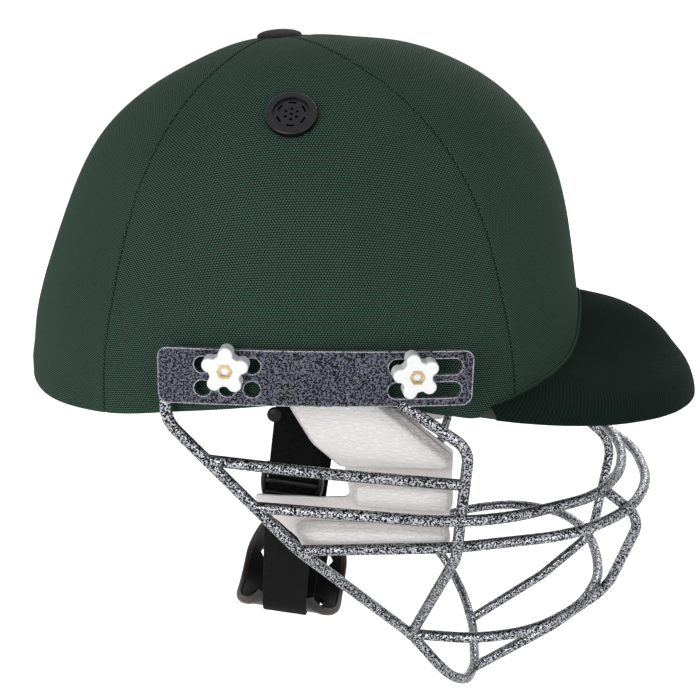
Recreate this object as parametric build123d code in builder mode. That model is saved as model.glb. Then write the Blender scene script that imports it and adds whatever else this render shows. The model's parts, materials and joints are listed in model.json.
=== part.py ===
from build123d import *
import os
from math import cos, radians, sin, tan

# Cricket helmet with a peak, a wire face guard, cheek pads and a chin strap.
# Frame: +X to the wearer's front, +Y to the wearer's left, +Z up.
# The origin is the centre of the rim plane, where the head enters. Millimetres.
# Pieces of the right side are drawn, and those of the left side mirror them.

# Clearances
soft_gap = 0.3
face_gap = 0.1
running_gap = 0.05
overrun = 30.0

# Dome, measured on the outside of its cloth
front_reach = 131.3
rear_reach = 130.6
half_width = 108.5
crown_height = 145.2
cloth_thickness = 0.9
shell_thickness = 3.2
liner_thickness = 13.0
liner_lift = 11.0
binding_thickness = 1.2
binding_width = 5.0

# Rows of the dome from the rim to the crown, as shares of the sizes above:
# height, front reach, rear reach, half width, place of the widest point
dome_shares = (
    (0.000, 1.000, 1.000, 0.998, -0.091),
    (0.087, 0.987, 0.984, 1.000, -0.091),
    (0.325, 0.938, 0.912, 0.954, -0.084),
    (0.529, 0.887, 0.825, 0.880, -0.069),
    (0.706, 0.804, 0.713, 0.765, -0.038),
    (0.837, 0.679, 0.551, 0.617, 0.000),
    (0.926, 0.521, 0.375, 0.442, 0.023),
    (0.973, 0.377, 0.247, 0.286, 0.038),
    (0.993, 0.250, 0.115, 0.150, 0.050),
    (1.000, 0.100, 0.000, 0.055, 0.050),
)

# Line of the rim in side view, which dips at the nape and arches over the ears, as shares of
# the rear reach and of the arch. Ahead of its last place it runs level.
rim_arch = 9.8
rim_skirt = 12.0
rim_shares = (
    (-1.050, -0.93),
    (-0.850, -0.86),
    (-0.670, -0.56),
    (-0.500, -0.18),
    (-0.330, 0.32),
    (-0.185, 0.64),
    (0.060, 1.00),
    (0.360, 0.73),
    (0.530, 0.14),
    (0.610, -0.12),
)

# Seams of the cloth in plan: a point half way down the dome and one at the rim,
# as shares of the front or rear reach and of the half width
front_seam_shares = ((0.259, 0.475), (0.742, 0.664))
rear_seam_shares = ((-0.352, 0.507), (-0.574, 0.848))

# Pads that touch the head
comfort_thickness = 7.0
comfort_lift = 26.0
brow_height = 30.0
brow_turn = 34.0
rear_height = 34.0
rear_turn = 30.0
side_height = 36.0
side_turn = 24.0
crown_pad_depth = 20.0

# Crown button
button_radius = 9.4
button_rise = 3.4
button_round = 3.0
button_place = -14.5
button_lean = 6.0

# Vents
vent_radius = 10.3
vent_rise = 2.2
vent_edge = 0.6
vent_ring_width = 2.8
vent_recess = 1.1
vent_neck_radius = 7.4
vent_neck_length = 9.0
vent_wall = 1.5
vent_place = -0.5
vent_axis_level = 50.0
vent_turn = 43.0
vent_slots = 6
vent_slot_circle = 5.0
vent_slot_width = 1.5
vent_slot_turn = 34.0
vent_hole_circle = 2.6
vent_hole_radius = 0.7

# Peak
peak_root = 80.0
peak_reach = 103.8
peak_half = 89.0
peak_crest = 34.0
peak_foot = 12.0
peak_board_thickness = 2.4
peak_edge_level = -1.5
peak_edge_turn = 4.3

# Rows of the peak from its foot to its crest: height, reach, half width
peak_shares = (
    (0.000, 1.000, 1.000),
    (0.261, 0.973, 0.944),
    (0.348, 0.949, 0.854),
    (0.435, 0.915, 0.708),
    (0.522, 0.882, 0.562),
    (0.652, 0.829, 0.404),
    (0.783, 0.751, 0.303),
    (0.891, 0.645, 0.213),
    (0.957, 0.530, 0.118),
    (1.000, 0.424, 0.045),
)

# Side plates, bent round the dome
plate_length = 123.2
plate_height = 22.7
plate_bottom = 9.3
plate_thickness = 1.8
plate_place = 14.7
plate_standoff = 2.4
plate_bow = 500.0
plate_yaw = 6.5
plate_corner = 4.0
plate_hole_radius = 3.3
plate_hole_pitch = 9.6
plate_hole_columns = 3
plate_hole_level = 6.6
plate_holes_place = -34.5
plate_slot_length = 29.3
plate_slot_place = 42.5

# Studs, spacers, washers and star knobs
stud_radius = 1.5
stud_head_radius = 5.0
stud_head_thickness = 1.6
stud_recess = 0.6
front_stud_place = 37.9
front_stud_drop = 1.6
spacer_radius = 5.0
washer_radius = 5.6
washer_thickness = 1.0
knob_radius = 9.3
knob_lobe_radius = 2.8
knob_core_radius = 6.2
knob_valley_radius = 1.4
knob_thickness = 6.6
knob_edge = 0.8
knob_lobes = 5
rear_knob_turn = 88.0
front_knob_turn = 104.0
insert_radius = 3.1
insert_proud = 0.4

# Wire of the grille and its bends
wire_radius = 2.4
weld_depth = 0.8
bend_share = 0.45
wide_bend = 110.0
chin_bend = 45.0
close_bend = 28.0
tight_bend = 12.0

# Chin bar: from the plates' rear ends down and round under the chin, in a slanted plane.
# Its corners are shares of its length and half width.
chin_plate_place = -59.4
chin_bend_level = 1.0
chin_front = 89.0
chin_half = 106.8
chin_slope = 1.2
chin_shares = ((0.386, 0.894), (0.754, 0.548), (0.888, 0.534), (0.963, 0.398), (1.000, 0.169))

# Upper, middle and lower bars round the front, with corners as shares in the same way
upper_rear = -10.5
upper_front = 153.0
upper_half = 101.0
upper_level = -40.0
upper_drop = 4.0
upper_shares = ((0.000, 0.990), (0.566, 0.995), (0.886, 0.622), (0.9735, 0.322), (1.000, 0.089))
middle_rear = 8.2
middle_front = 164.4
middle_half = 93.5
middle_level = -62.0
middle_rise = 9.4
middle_shares = ((0.000, 1.000), (0.413, 0.969), (0.743, 0.835), (0.918, 0.565), (1.000, 0.219))
lower_front = 146.5
lower_half = 69.0
lower_rise = 18.0
lower_shares = ((0.328, 1.000), (0.612, 0.978), (0.863, 0.732), (0.978, 0.391), (1.000, 0.116))

# Cheek bars: from the plates' lower edges past the pads to the chin bar
cheek_plate_place = 32.5
cheek_weld_depth = 1.6
cheek_bend_place = 76.0
cheek_bend_half = 96.5
cheek_bend_level = -11.0
cheek_low_place = 73.3
cheek_low_half = 94.5
cheek_low_level = -61.0

# Cheek rails: from the chin bar to the cheek bars
rail_rear_share = 0.295
rail_front_share = 0.320
rail_bow_place = 20.0
rail_bow_half = 105.5
rail_bow_level = -21.0

# Front stays: from under the upper bar round the middle and lower bars to the chin bar
stay_top_share = 0.480
stay_end_share = 0.780
stay_knee_place = 157.6
stay_knee_half = 46.5
stay_knee_level = -60.6
stay_foot_place = 148.8
stay_foot_half = 28.8
stay_foot_level = -105.8
stay_sweep_place = 124.0
stay_sweep_half = 26.0
stay_sweep_level = -130.5

# Cheek pads: three cushions on a backing board on each side
pad_front = 71.5
pad_length = 71.0
pad_face_half = 87.9
pad_depth = 10.0
pad_corner = 4.0
pad_pull = 1.2
pad_crown_inset = 3.6
upper_pad_top = 8.5
upper_pad_height = 36.6
middle_pad_top = -31.8
middle_pad_height = 15.0
lower_pad_top = -52.4
lower_pad_height = 15.6
backing_thickness = 2.4
backing_corner = 2.0

# Outlines of the pads, as shares of the length from the rear and of the height from the top
upper_pad_shares = (
    (-0.042, 0.000),
    (0.005, 0.299),
    (0.140, 0.721),
    (0.315, 1.000),
    (0.985, 0.970),
    (0.985, 0.789),
    (0.475, 0.000),
)
middle_pad_shares = ((0.385, 0.00), (0.385, 0.94), (1.000, 1.00), (1.000, 0.04))
lower_pad_shares = ((0.005, 0.12), (0.105, 1.00), (0.950, 0.80), (0.995, 0.60), (1.000, 0.00))
backing_shares = (
    (-0.030, 0.016),
    (0.021, 0.144),
    (0.331, 0.477),
    (0.373, 0.680),
    (-0.204, 0.680),
    (-0.204, 0.745),
    (0.092, 0.981),
    (0.951, 0.948),
    (0.986, 0.869),
    (0.986, 0.373),
    (0.478, 0.016),
)

# Rows of a cushion from its back to its face: depth, pull at the back, inset of the crown
cushion_shares = (
    (0.00, 1.00, 0.00),
    (0.30, 0.00, 0.00),
    (0.62, 0.00, 0.16),
    (0.86, 0.00, 0.45),
    (1.00, 0.00, 1.00),
)

# Chin strap, hung on two pins and leaning to the rear
strap_place = 7.1
strap_level = 19.95
strap_half = 71.2
strap_lean = 5.5
webbing_width = 21.5
webbing_thickness = 1.6
webbing_above = 8.5
webbing_corner = 7.0
webbing_bend = 20.0
webbing_turn = 60.0
pin_radius = 3.0
pin_head_radius = 6.0
pin_head_thickness = 1.4
adjuster_width = 25.6
adjuster_length = 15.0
adjuster_wall = 1.6
adjuster_above_bend = 1.2

# Chin cup: a trough that lies in the bend of the strap, turned to the wearer's left
cup_radius = 36.0
cup_drop = 123.8
cup_width = 51.0
cup_thickness = 2.6
cup_turn = 82.0
cup_tilt = 20.0
cup_corner = 23.0
cup_slot_turn = 26.0
cup_slot_height = 9.5
cup_slot_depth = 3.2
cup_slot_place = 16.5

os.makedirs("parts", exist_ok=True)

# Insets of the layers from the outside of the cloth
shell_inset = cloth_thickness + soft_gap
liner_inset = shell_inset + shell_thickness + soft_gap
comfort_inset = liner_inset + liner_thickness + soft_gap
cavity_inset = comfort_inset + comfort_thickness


def outline(inset, row):
    """A horizontal section of the dome: four quarter ellipses."""
    height, front, rear, side, middle = row
    centre = middle * (front_reach - inset)
    ahead = front * (front_reach - inset) - centre
    behind = rear * (rear_reach - inset) + centre
    across = side * (half_width - inset)
    with BuildSketch(Plane.XY.offset(height * (crown_height - inset))) as section:
        with BuildLine():
            EllipticalCenterArc((centre, 0), ahead, across, start_angle=0, arc_size=90)
            EllipticalCenterArc((centre, 0), behind, across, start_angle=90, arc_size=90)
            EllipticalCenterArc((centre, 0), behind, across, start_angle=180, arc_size=90)
            EllipticalCenterArc((centre, 0), ahead, across, start_angle=270, arc_size=90)
        make_face()
    return section.sketch


def dome(inset):
    """The solid inside a surface that lies this far inside the outside of the cloth."""
    with BuildPart() as solid:
        loft([outline(inset, row).face() for row in dome_shares])
    return solid.part


def walled(inset):
    """The same solid with its wall carried on below the rim plane, for the nape."""
    with BuildPart() as solid:
        add(dome(inset))
        with BuildSketch():
            add(outline(inset, dome_shares[0]))
        extrude(amount=-rim_skirt)
    return solid.part


def under_rim(rise):
    """The room below the rim line, moved up by a rise."""
    points = [(along * rear_reach, height * rim_arch + rise) for along, height in rim_shares]
    rear_end, front_end = points[0], (2 * front_reach, points[-1][1])
    floor = rise - 2 * rim_skirt
    with BuildPart() as room:
        with BuildSketch(Plane.XZ):
            with BuildLine():
                Spline(*points, tangents=((1, 0), (1, 0)))
                Polyline(points[-1], front_end, (front_end[0], floor), (rear_end[0], floor), rear_end)
            make_face()
        extrude(amount=2 * half_width, both=True)
    return room.part


def seat(solid, start, direction):
    """The plane on a solid where a line from inside leaves it, facing out."""
    point, normal = solid.shell().find_intersection_points(Axis(start, direction))[-1]
    return Plane(origin=point, z_dir=normal)


def rod(plane, radius, length):
    """A round rod that stands on a plane."""
    with BuildPart() as solid:
        with BuildSketch(plane):
            Circle(radius)
        extrude(amount=length)
    return solid.part


def on_both_sides(part):
    """A piece of the right side with its mirror image on the left."""
    with BuildPart() as pair:
        add(part)
        mirror(part, about=Plane.XZ)
    return pair.part


def write(piece, name):
    """Name a piece and write it."""
    piece.part.label = name
    export_step(piece.part, f"parts/{name}.step")


def write_left(piece, name):
    """Mirror a piece of the right side to the left and write it."""
    with BuildPart() as left:
        mirror(piece.part, about=Plane.XZ)
    write(left, name)


cloth_outside = dome(0)
shell_clear = dome(liner_inset)
comfort_outside = dome(comfort_inset)
cavity = dome(cavity_inset)
cloth_clear = dome(-soft_gap)

# Axes of the vents and of the studs, on the right side
vent_axis = (0, -cos(radians(vent_turn)), sin(radians(vent_turn)))
vent_plane = seat(cloth_outside, (vent_place, 0, vent_axis_level), vent_axis)

plate_seat = seat(cloth_outside, (plate_place, 0, plate_bottom + plate_height / 2), (0, -1, 0))
plate_turn = radians(plate_yaw)
plate_centre_x = plate_place - plate_bow * sin(plate_turn)
plate_centre_y = plate_seat.origin.Y - plate_standoff + plate_bow * cos(plate_turn)


def plate_plane(along, level):
    """The plane on the outside of the right plate, at an arc length from its middle."""
    turn = plate_turn + along / plate_bow
    reach = plate_bow + plate_thickness
    origin = (plate_centre_x + reach * sin(turn), plate_centre_y - reach * cos(turn), level)
    return Plane(origin=origin, x_dir=(cos(turn), sin(turn), 0), z_dir=(sin(turn), -cos(turn), 0))


low_row = plate_bottom + plate_hole_level
high_row = low_row + plate_hole_pitch
rear_stud_plane = plate_plane(plate_holes_place, high_row)
front_stud_plane = plate_plane(front_stud_place, high_row - front_stud_drop)
stud_planes = (rear_stud_plane, front_stud_plane)

# Room for the studs, vents and strap pins in what they pass through
bore_radius = stud_radius + soft_gap
stud_room = [on_both_sides(rod(plane.offset(-overrun), bore_radius, overrun)) for plane in stud_planes]
vent_room = on_both_sides(rod(vent_plane.offset(-overrun), vent_neck_radius + soft_gap, 2 * overrun))
pin_plane = Plane(origin=(strap_place, -strap_half, strap_level), z_dir=(0, -1, 0))
pin_room = on_both_sides(rod(pin_plane, pin_radius + soft_gap, half_width))

# Hard shell
with BuildPart() as shell:
    add(walled(shell_inset))
    add(walled(shell_inset + shell_thickness), mode=Mode.SUBTRACT)
    add(under_rim(0), mode=Mode.SUBTRACT)
    add(stud_room, mode=Mode.SUBTRACT)
    add(vent_room, mode=Mode.SUBTRACT)
write(shell, "shell")


def head_depth(plane):
    """How far inside the plate's outer face a stud's head starts, clear of the shell all round."""
    inner = seat(shell_clear, plane.origin - plane.z_dir * half_width, plane.z_dir)
    tilt = radians(plane.z_dir.get_angle(inner.z_dir))
    return (plane.origin - inner.origin).dot(plane.z_dir) + stud_head_radius * tan(tilt)


# Studs with flat heads inside the shell
knob_base = face_gap + washer_thickness + face_gap
insert_top = knob_base + knob_thickness + insert_proud
with BuildPart() as studs:
    for plane in stud_planes:
        head_plane = plane.offset(-head_depth(plane) - stud_head_thickness)
        add(rod(head_plane, stud_head_radius, stud_head_thickness))
        add(rod(head_plane, stud_radius, stud_head_thickness + head_depth(plane) + insert_top - stud_recess))
    mirror(about=Plane.XZ)
write(studs, "studs")

# Foam liner with pockets for the stud heads
with BuildPart() as liner:
    add(shell_clear)
    add(dome(liner_inset + liner_thickness), mode=Mode.SUBTRACT)
    split(bisect_by=Plane.XY.offset(liner_lift), keep=Keep.TOP)
    for plane in stud_planes:
        pocket_plane = plane.offset(-head_depth(plane) - stud_head_thickness - soft_gap)
        pocket = rod(pocket_plane, stud_head_radius + soft_gap, overrun)
        add(on_both_sides(pocket), mode=Mode.SUBTRACT)
    add(vent_room, mode=Mode.SUBTRACT)
    add(pin_room, mode=Mode.SUBTRACT)
write(liner, "liner")


def head_pad(turn, half_turn, height):
    """A pad on the inside of the liner, between two upright planes through the origin."""
    reach = front_reach + rear_reach
    turns = [radians(turn - half_turn), radians(turn + half_turn)]
    corners = [(reach * cos(edge_turn), reach * sin(edge_turn)) for edge_turn in turns]
    with BuildPart() as pad:
        with BuildSketch(Plane.XY.offset(comfort_lift)):
            Polygon((0, 0), *corners, align=None)
        extrude(amount=height)
        add(comfort_outside, mode=Mode.INTERSECT)
        add(cavity, mode=Mode.SUBTRACT)
    return pad.part


# Pads that touch the head
with BuildPart() as brow_pad:
    add(head_pad(0, brow_turn, brow_height))
write(brow_pad, "brow_pad")

with BuildPart() as rear_pad:
    add(head_pad(180, rear_turn, rear_height))
write(rear_pad, "rear_pad")

with BuildPart() as comfort_pad_right:
    add(head_pad(-90, side_turn, side_height))
write(comfort_pad_right, "comfort_pad_right")
write_left(comfort_pad_right, "comfort_pad_left")

with BuildPart() as crown_pad:
    add(comfort_outside)
    add(cavity, mode=Mode.SUBTRACT)
    split(bisect_by=Plane.XY.offset(crown_height - comfort_inset - crown_pad_depth), keep=Keep.TOP)
write(crown_pad, "crown_pad")

# Binding under the edge of the shell
with BuildPart() as rim_binding:
    with BuildSketch():
        add(outline(0, dome_shares[0]))
        add(outline(binding_width, dome_shares[0]), mode=Mode.SUBTRACT)
    extrude(amount=rim_skirt, both=True)
    add(under_rim(-face_gap), mode=Mode.INTERSECT)
    add(under_rim(-face_gap - binding_thickness), mode=Mode.SUBTRACT)
write(rim_binding, "rim_binding")

# Cloth in four panels with upright seams that meet under the button
skin = walled(0) - walled(cloth_thickness) - under_rim(0)
cloth_room = [*stud_room, vent_room]


def seam(shares, reach, side):
    """A seam in plan, from under the button to the rim, on one side."""
    middle, end = [(along * reach, side * across * half_width) for along, across in shares]
    return ThreePointArc((button_place, 0), middle, end)


def panel(first, second, *corners):
    """The cloth between two seams, with corners of the plan outside the dome."""
    with BuildPart() as cloth:
        with BuildSketch():
            with BuildLine():
                add(first)
                Polyline(first @ 1, *corners, second @ 1)
                add(second)
            make_face()
        extrude(amount=crown_height, both=True)
        add(skin, mode=Mode.INTERSECT)
        for room in cloth_room:
            add(room, mode=Mode.SUBTRACT)
    return cloth.part


front_seam_right = seam(front_seam_shares, front_reach, -1)
front_seam_left = seam(front_seam_shares, front_reach, 1)
rear_seam_right = seam(rear_seam_shares, rear_reach, -1)
rear_seam_left = seam(rear_seam_shares, rear_reach, 1)
far_side = 2 * half_width
far_front = 2 * front_reach
far_rear = -2 * rear_reach

with BuildPart() as cover_right:
    front_corner = ((front_seam_right @ 1).X, -far_side)
    rear_corner = ((rear_seam_right @ 1).X, -far_side)
    add(panel(front_seam_right, rear_seam_right, front_corner, rear_corner))
write(cover_right, "cover_right")
write_left(cover_right, "cover_left")

with BuildPart() as cover_front:
    add(panel(front_seam_right, front_seam_left, (far_front, -far_side), (far_front, far_side)))
write(cover_front, "cover_front")

with BuildPart() as cover_rear:
    add(panel(rear_seam_right, rear_seam_left, (far_rear, -far_side), (far_rear, far_side)))
write(cover_rear, "cover_rear")

# Button on the crown
with BuildPart() as crown_button:
    button_plane = seat(cloth_outside, (button_place + button_lean, 0, 0), (-button_lean, 0, crown_height))
    add(rod(button_plane.offset(-button_rise), button_radius, 2 * button_rise))
    fillet(edges().sort_by(Axis.Z)[-1], button_round)
    add(cloth_clear, mode=Mode.SUBTRACT)
write(crown_button, "crown_button")

# Vents with a raised ring and a slotted disc
with BuildPart() as vent_right:
    add(rod(vent_plane.offset(-vent_rise), vent_radius, 2 * vent_rise))
    fillet(edges().sort_by(Axis(vent_plane.origin, vent_plane.z_dir))[-1], vent_edge)
    add(cloth_clear, mode=Mode.SUBTRACT)
    neck_length = vent_neck_length + vent_rise - vent_recess
    add(rod(vent_plane.offset(-vent_neck_length), vent_neck_radius, neck_length))
    ring_bore = rod(vent_plane.offset(vent_rise - vent_recess), vent_radius - vent_ring_width, vent_recess)
    add(ring_bore, mode=Mode.SUBTRACT)
    neck_plane = vent_plane.offset(-vent_neck_length)
    neck_bore = rod(neck_plane, vent_neck_radius - vent_wall, neck_length - vent_wall)
    add(neck_bore, mode=Mode.SUBTRACT)
    with BuildSketch(vent_plane.offset(vent_rise)):
        Circle(vent_hole_radius)
        with PolarLocations(vent_hole_circle, vent_slots):
            Circle(vent_hole_radius)
        for index in range(vent_slots):
            start = (index + 0.5) * 360 / vent_slots
            slot_line = CenterArc((0, 0), vent_slot_circle, start, vent_slot_turn, mode=Mode.PRIVATE)
            SlotArc(slot_line, vent_slot_width)
    extrude(amount=-vent_neck_length, mode=Mode.SUBTRACT)
write(vent_right, "vent_right")
write_left(vent_right, "vent_left")


def peak_form(inset):
    """The solid under a surface that lies this far inside the outside of the peak."""
    with BuildPart() as form:
        for height, reach, half in peak_shares:
            level = height * (peak_foot + peak_crest - inset) - peak_foot
            with BuildSketch(Plane.XY.offset(level)):
                with BuildLine():
                    ahead = reach * (peak_reach - inset)
                    across = half * (peak_half - inset)
                    edge = EllipticalCenterArc((peak_root, 0), ahead, across, start_angle=-90, arc_size=180)
                    Line(edge @ 1, edge @ 0)
                make_face()
        loft()
    return form.part


with BuildPart() as peak_room:
    with BuildSketch():
        add(outline(-soft_gap, dome_shares[0]))
    extrude(amount=-2 * peak_foot)
    add(cloth_clear)


def peak_layer(outer, inner):
    """A layer of the peak between two insets, outside the dome and above the peak's edge."""
    turn = radians(peak_edge_turn)
    edge_plane = Plane(origin=(peak_root, 0, peak_edge_level), z_dir=(sin(turn), 0, cos(turn)))
    with BuildPart() as layer:
        add(peak_form(outer))
        add(peak_form(inner), mode=Mode.SUBTRACT)
        add(peak_room.part, mode=Mode.SUBTRACT)
        split(bisect_by=edge_plane, keep=Keep.TOP)
    return layer.part


# Peak: a board between two layers of cloth
board_inset = cloth_thickness + soft_gap
under_inset = board_inset + peak_board_thickness + soft_gap
with BuildPart() as peak_cover_top:
    add(peak_layer(0, cloth_thickness))
write(peak_cover_top, "peak_cover_top")

with BuildPart() as peak_board:
    add(peak_layer(board_inset, board_inset + peak_board_thickness))
write(peak_board, "peak_board")

with BuildPart() as peak_cover_under:
    add(peak_layer(under_inset, under_inset + cloth_thickness))
write(peak_cover_under, "peak_cover_under")

# Side plates with round holes to the rear and slots to the front
with BuildPart() as side_plate_right:
    outer_planes = [plate_plane(share * plate_length, plate_bottom) for share in (-0.5, 0, 0.5)]
    inner_planes = [plane.offset(-plate_thickness) for plane in outer_planes]
    with BuildSketch(Plane.XY.offset(plate_bottom)):
        with BuildLine():
            outer = ThreePointArc(*[(plane.origin.X, plane.origin.Y) for plane in outer_planes])
            inner = ThreePointArc(*[(plane.origin.X, plane.origin.Y) for plane in inner_planes])
            Line(outer @ 0, inner @ 0)
            Line(outer @ 1, inner @ 1)
        make_face()
    extrude(amount=plate_height)
    fillet(edges().sort_by(SortBy.LENGTH)[:4], plate_corner)
    for row in (low_row, high_row):
        for column in range(plate_hole_columns):
            along = plate_holes_place + (column - (plate_hole_columns - 1) / 2) * plate_hole_pitch
            hole_plane = plate_plane(along, row).offset(-overrun)
            add(rod(hole_plane, plate_hole_radius, 2 * overrun), mode=Mode.SUBTRACT)
        with BuildSketch(plate_plane(plate_slot_place, row)):
            SlotOverall(plate_slot_length, 2 * plate_hole_radius)
        extrude(amount=overrun, both=True, mode=Mode.SUBTRACT)
write(side_plate_right, "side_plate_right")
write_left(side_plate_right, "side_plate_left")

# Spacers between the dome and the plates
with BuildPart() as plate_spacers:
    for plane in stud_planes:
        spacer_plane = plane.offset(-plate_thickness - face_gap - overrun)
        add(rod(spacer_plane, spacer_radius, overrun))
        add(rod(spacer_plane, stud_radius + running_gap, overrun), mode=Mode.SUBTRACT)
    add(cloth_clear, mode=Mode.SUBTRACT)
    mirror(about=Plane.XZ)
write(plate_spacers, "plate_spacers")

# Washers under the knobs
with BuildPart() as plate_washers:
    for plane in stud_planes:
        with BuildSketch(plane.offset(face_gap)):
            Circle(washer_radius)
            Circle(stud_radius + running_gap, mode=Mode.SUBTRACT)
        extrude(amount=washer_thickness)
    mirror(about=Plane.XZ)
write(plate_washers, "plate_washers")


def knob(plane, turn):
    """A star knob with a pocket for its insert."""
    with BuildPart() as star:
        with BuildSketch(plane.offset(knob_base)):
            Circle(knob_core_radius)
            with PolarLocations(knob_radius - knob_lobe_radius, knob_lobes, start_angle=turn):
                Circle(knob_lobe_radius)
            fillet(vertices(), knob_valley_radius)
        extrude(amount=knob_thickness)
        fillet(faces().sort_by(Axis(plane.origin, plane.z_dir))[-1].edges(), knob_edge)
        with BuildSketch(plane.offset(knob_base)):
            RegularPolygon(insert_radius, 6)
        extrude(amount=knob_thickness, mode=Mode.SUBTRACT)
    return star.part


def insert(plane):
    """A hexagonal insert with a bore for the stud."""
    with BuildPart() as hexagon:
        with BuildSketch(plane.offset(knob_base)):
            RegularPolygon(insert_radius, 6)
            Circle(stud_radius + running_gap, mode=Mode.SUBTRACT)
        extrude(amount=knob_thickness + insert_proud)
    return hexagon.part


# Star knobs and their inserts
with BuildPart() as star_knob_rear_right:
    add(knob(rear_stud_plane, rear_knob_turn))
write(star_knob_rear_right, "star_knob_rear_right")
write_left(star_knob_rear_right, "star_knob_rear_left")

with BuildPart() as knob_insert_rear_right:
    add(insert(rear_stud_plane))
write(knob_insert_rear_right, "knob_insert_rear_right")
write_left(knob_insert_rear_right, "knob_insert_rear_left")

with BuildPart() as star_knob_front_right:
    add(knob(front_stud_plane, front_knob_turn))
write(star_knob_front_right, "star_knob_front_right")
write_left(star_knob_front_right, "star_knob_front_left")

with BuildPart() as knob_insert_front_right:
    add(insert(front_stud_plane))
write(knob_insert_front_right, "knob_insert_front_right")
write_left(knob_insert_front_right, "knob_insert_front_left")


def bar_points(rear, front, half, level, rise, shares):
    """Corners of a bar on the right side, from shares of its length, half width and rise."""
    length = front - rear
    return [Vector(rear + along * length, -across * half, level + along * rise) for along, across in shares]


def round_front(points):
    """The corners of a bar that runs round the front, from the right side to the left."""
    return points + [Vector(point.X, -point.Y, point.Z) for point in reversed(points)]


def between(first, second, share):
    """A point between two points."""
    return first + (second - first) * share


def wire(points, largest_bend):
    """Grille wire along straight runs joined by bends that leave part of each run straight."""
    radii = []
    for before, here, after in zip(points, points[1:], points[2:]):
        arriving = here - before
        leaving = after - here
        half_turn = radians(arriving.get_angle(leaving)) / 2
        radii.append(min(largest_bend, bend_share * min(arriving.length, leaving.length) / tan(half_turn)))
    with BuildPart() as bar:
        with BuildLine() as path:
            FilletPolyline(*points, radius=radii)
        with BuildSketch(Plane(origin=path.line @ 0, z_dir=path.line % 0)):
            Circle(wire_radius)
        sweep(path=path.line)
    return bar.part


# Chin bar
chin_plane = plate_plane(chin_plate_place, plate_bottom)
chin_start = chin_plane.origin - chin_plane.z_dir * (wire_radius + face_gap)
chin_top = chin_start + Vector(0, 0, 2 * wire_radius)
chin_bend_point = Vector(chin_start.X, chin_start.Y, chin_bend_level)
chin_drop = -chin_slope * (chin_front - chin_start.X)
chin_points = bar_points(chin_start.X, chin_front, chin_half, chin_bend_level, chin_drop, chin_shares)
with BuildPart() as chin_bar:
    add(wire(round_front([chin_top, chin_bend_point, *chin_points]), chin_bend))
write(chin_bar, "chin_bar")

# Upper bar
upper_points = bar_points(upper_rear, upper_front, upper_half, upper_level, -upper_drop, upper_shares)
with BuildPart() as upper_bar:
    add(wire(round_front(upper_points), wide_bend))
write(upper_bar, "upper_bar")

# Middle bar
middle_points = bar_points(middle_rear, middle_front, middle_half, middle_level, middle_rise, middle_shares)
with BuildPart() as middle_bar:
    add(wire(round_front(middle_points), wide_bend))
write(middle_bar, "middle_bar")

# Lower bar, which starts at the chin bar's second corner
lower_start = chin_points[1]
lower_points = bar_points(lower_start.X, lower_front, lower_half, lower_start.Z, lower_rise, lower_shares)
with BuildPart() as lower_bar:
    add(wire(round_front([lower_start, *lower_points]), wide_bend))
write(lower_bar, "lower_bar")

# Cheek bars
cheek_plane = plate_plane(cheek_plate_place, plate_bottom + wire_radius / 2)
cheek_top = cheek_plane.origin - cheek_plane.z_dir * cheek_weld_depth
cheek_bend_point = Vector(cheek_bend_place, -cheek_bend_half, cheek_bend_level)
cheek_low_point = Vector(cheek_low_place, -cheek_low_half, cheek_low_level)
with BuildPart() as cheek_bar_right:
    add(wire([cheek_top, cheek_bend_point, cheek_low_point, chin_points[1]], tight_bend))
write(cheek_bar_right, "cheek_bar_right")
write_left(cheek_bar_right, "cheek_bar_left")

# Cheek rails
rail_start = between(chin_bend_point, chin_points[0], rail_rear_share)
rail_middle = Vector(rail_bow_place, -rail_bow_half, rail_bow_level)
rail_end = between(cheek_bend_point, cheek_low_point, rail_front_share)
with BuildPart() as cheek_rail_right:
    add(wire([rail_start, rail_middle, rail_end], wide_bend))
write(cheek_rail_right, "cheek_rail_right")
write_left(cheek_rail_right, "cheek_rail_left")

# Front stays
stay_top = between(upper_points[2], upper_points[3], stay_top_share)
stay_start = stay_top - Vector(0, 0, 2 * wire_radius - weld_depth)
stay_knee = Vector(stay_knee_place, -stay_knee_half, stay_knee_level)
stay_foot = Vector(stay_foot_place, -stay_foot_half, stay_foot_level)
stay_sweep = Vector(stay_sweep_place, -stay_sweep_half, stay_sweep_level)
stay_end = between(chin_points[3], chin_points[4], stay_end_share)
with BuildPart() as front_stay_right:
    add(wire([stay_start, stay_knee, stay_foot, stay_sweep, stay_end], close_bend))
write(front_stay_right, "front_stay_right")
write_left(front_stay_right, "front_stay_left")


def pad_outline(shares, top, height):
    """Corners of a pad on the upright plane across the wearer."""
    rear = pad_front - pad_length
    return [(rear + along * pad_length, top - down * height) for along, down in shares]


def cushion(shares, top, height):
    """A cushion with a crowned face and sides drawn in to its back."""
    with BuildPart() as pad:
        for depth, pull, crown in cushion_shares:
            inset = pull * pad_pull + crown * pad_crown_inset
            with BuildSketch(Plane.XZ.offset(pad_face_half - pad_depth + depth * pad_depth)):
                Polygon(*pad_outline(shares, top, height), align=None)
                if inset:
                    offset(amount=-inset, kind=Kind.INTERSECTION)
                fillet(vertices(), pad_corner - inset)
        loft()
    return pad.part


# Cheek pads
with BuildPart() as cheek_pad_upper_right:
    add(cushion(upper_pad_shares, upper_pad_top, upper_pad_height))
write(cheek_pad_upper_right, "cheek_pad_upper_right")
write_left(cheek_pad_upper_right, "cheek_pad_upper_left")

with BuildPart() as cheek_pad_middle_right:
    add(cushion(middle_pad_shares, middle_pad_top, middle_pad_height))
write(cheek_pad_middle_right, "cheek_pad_middle_right")
write_left(cheek_pad_middle_right, "cheek_pad_middle_left")

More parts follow.
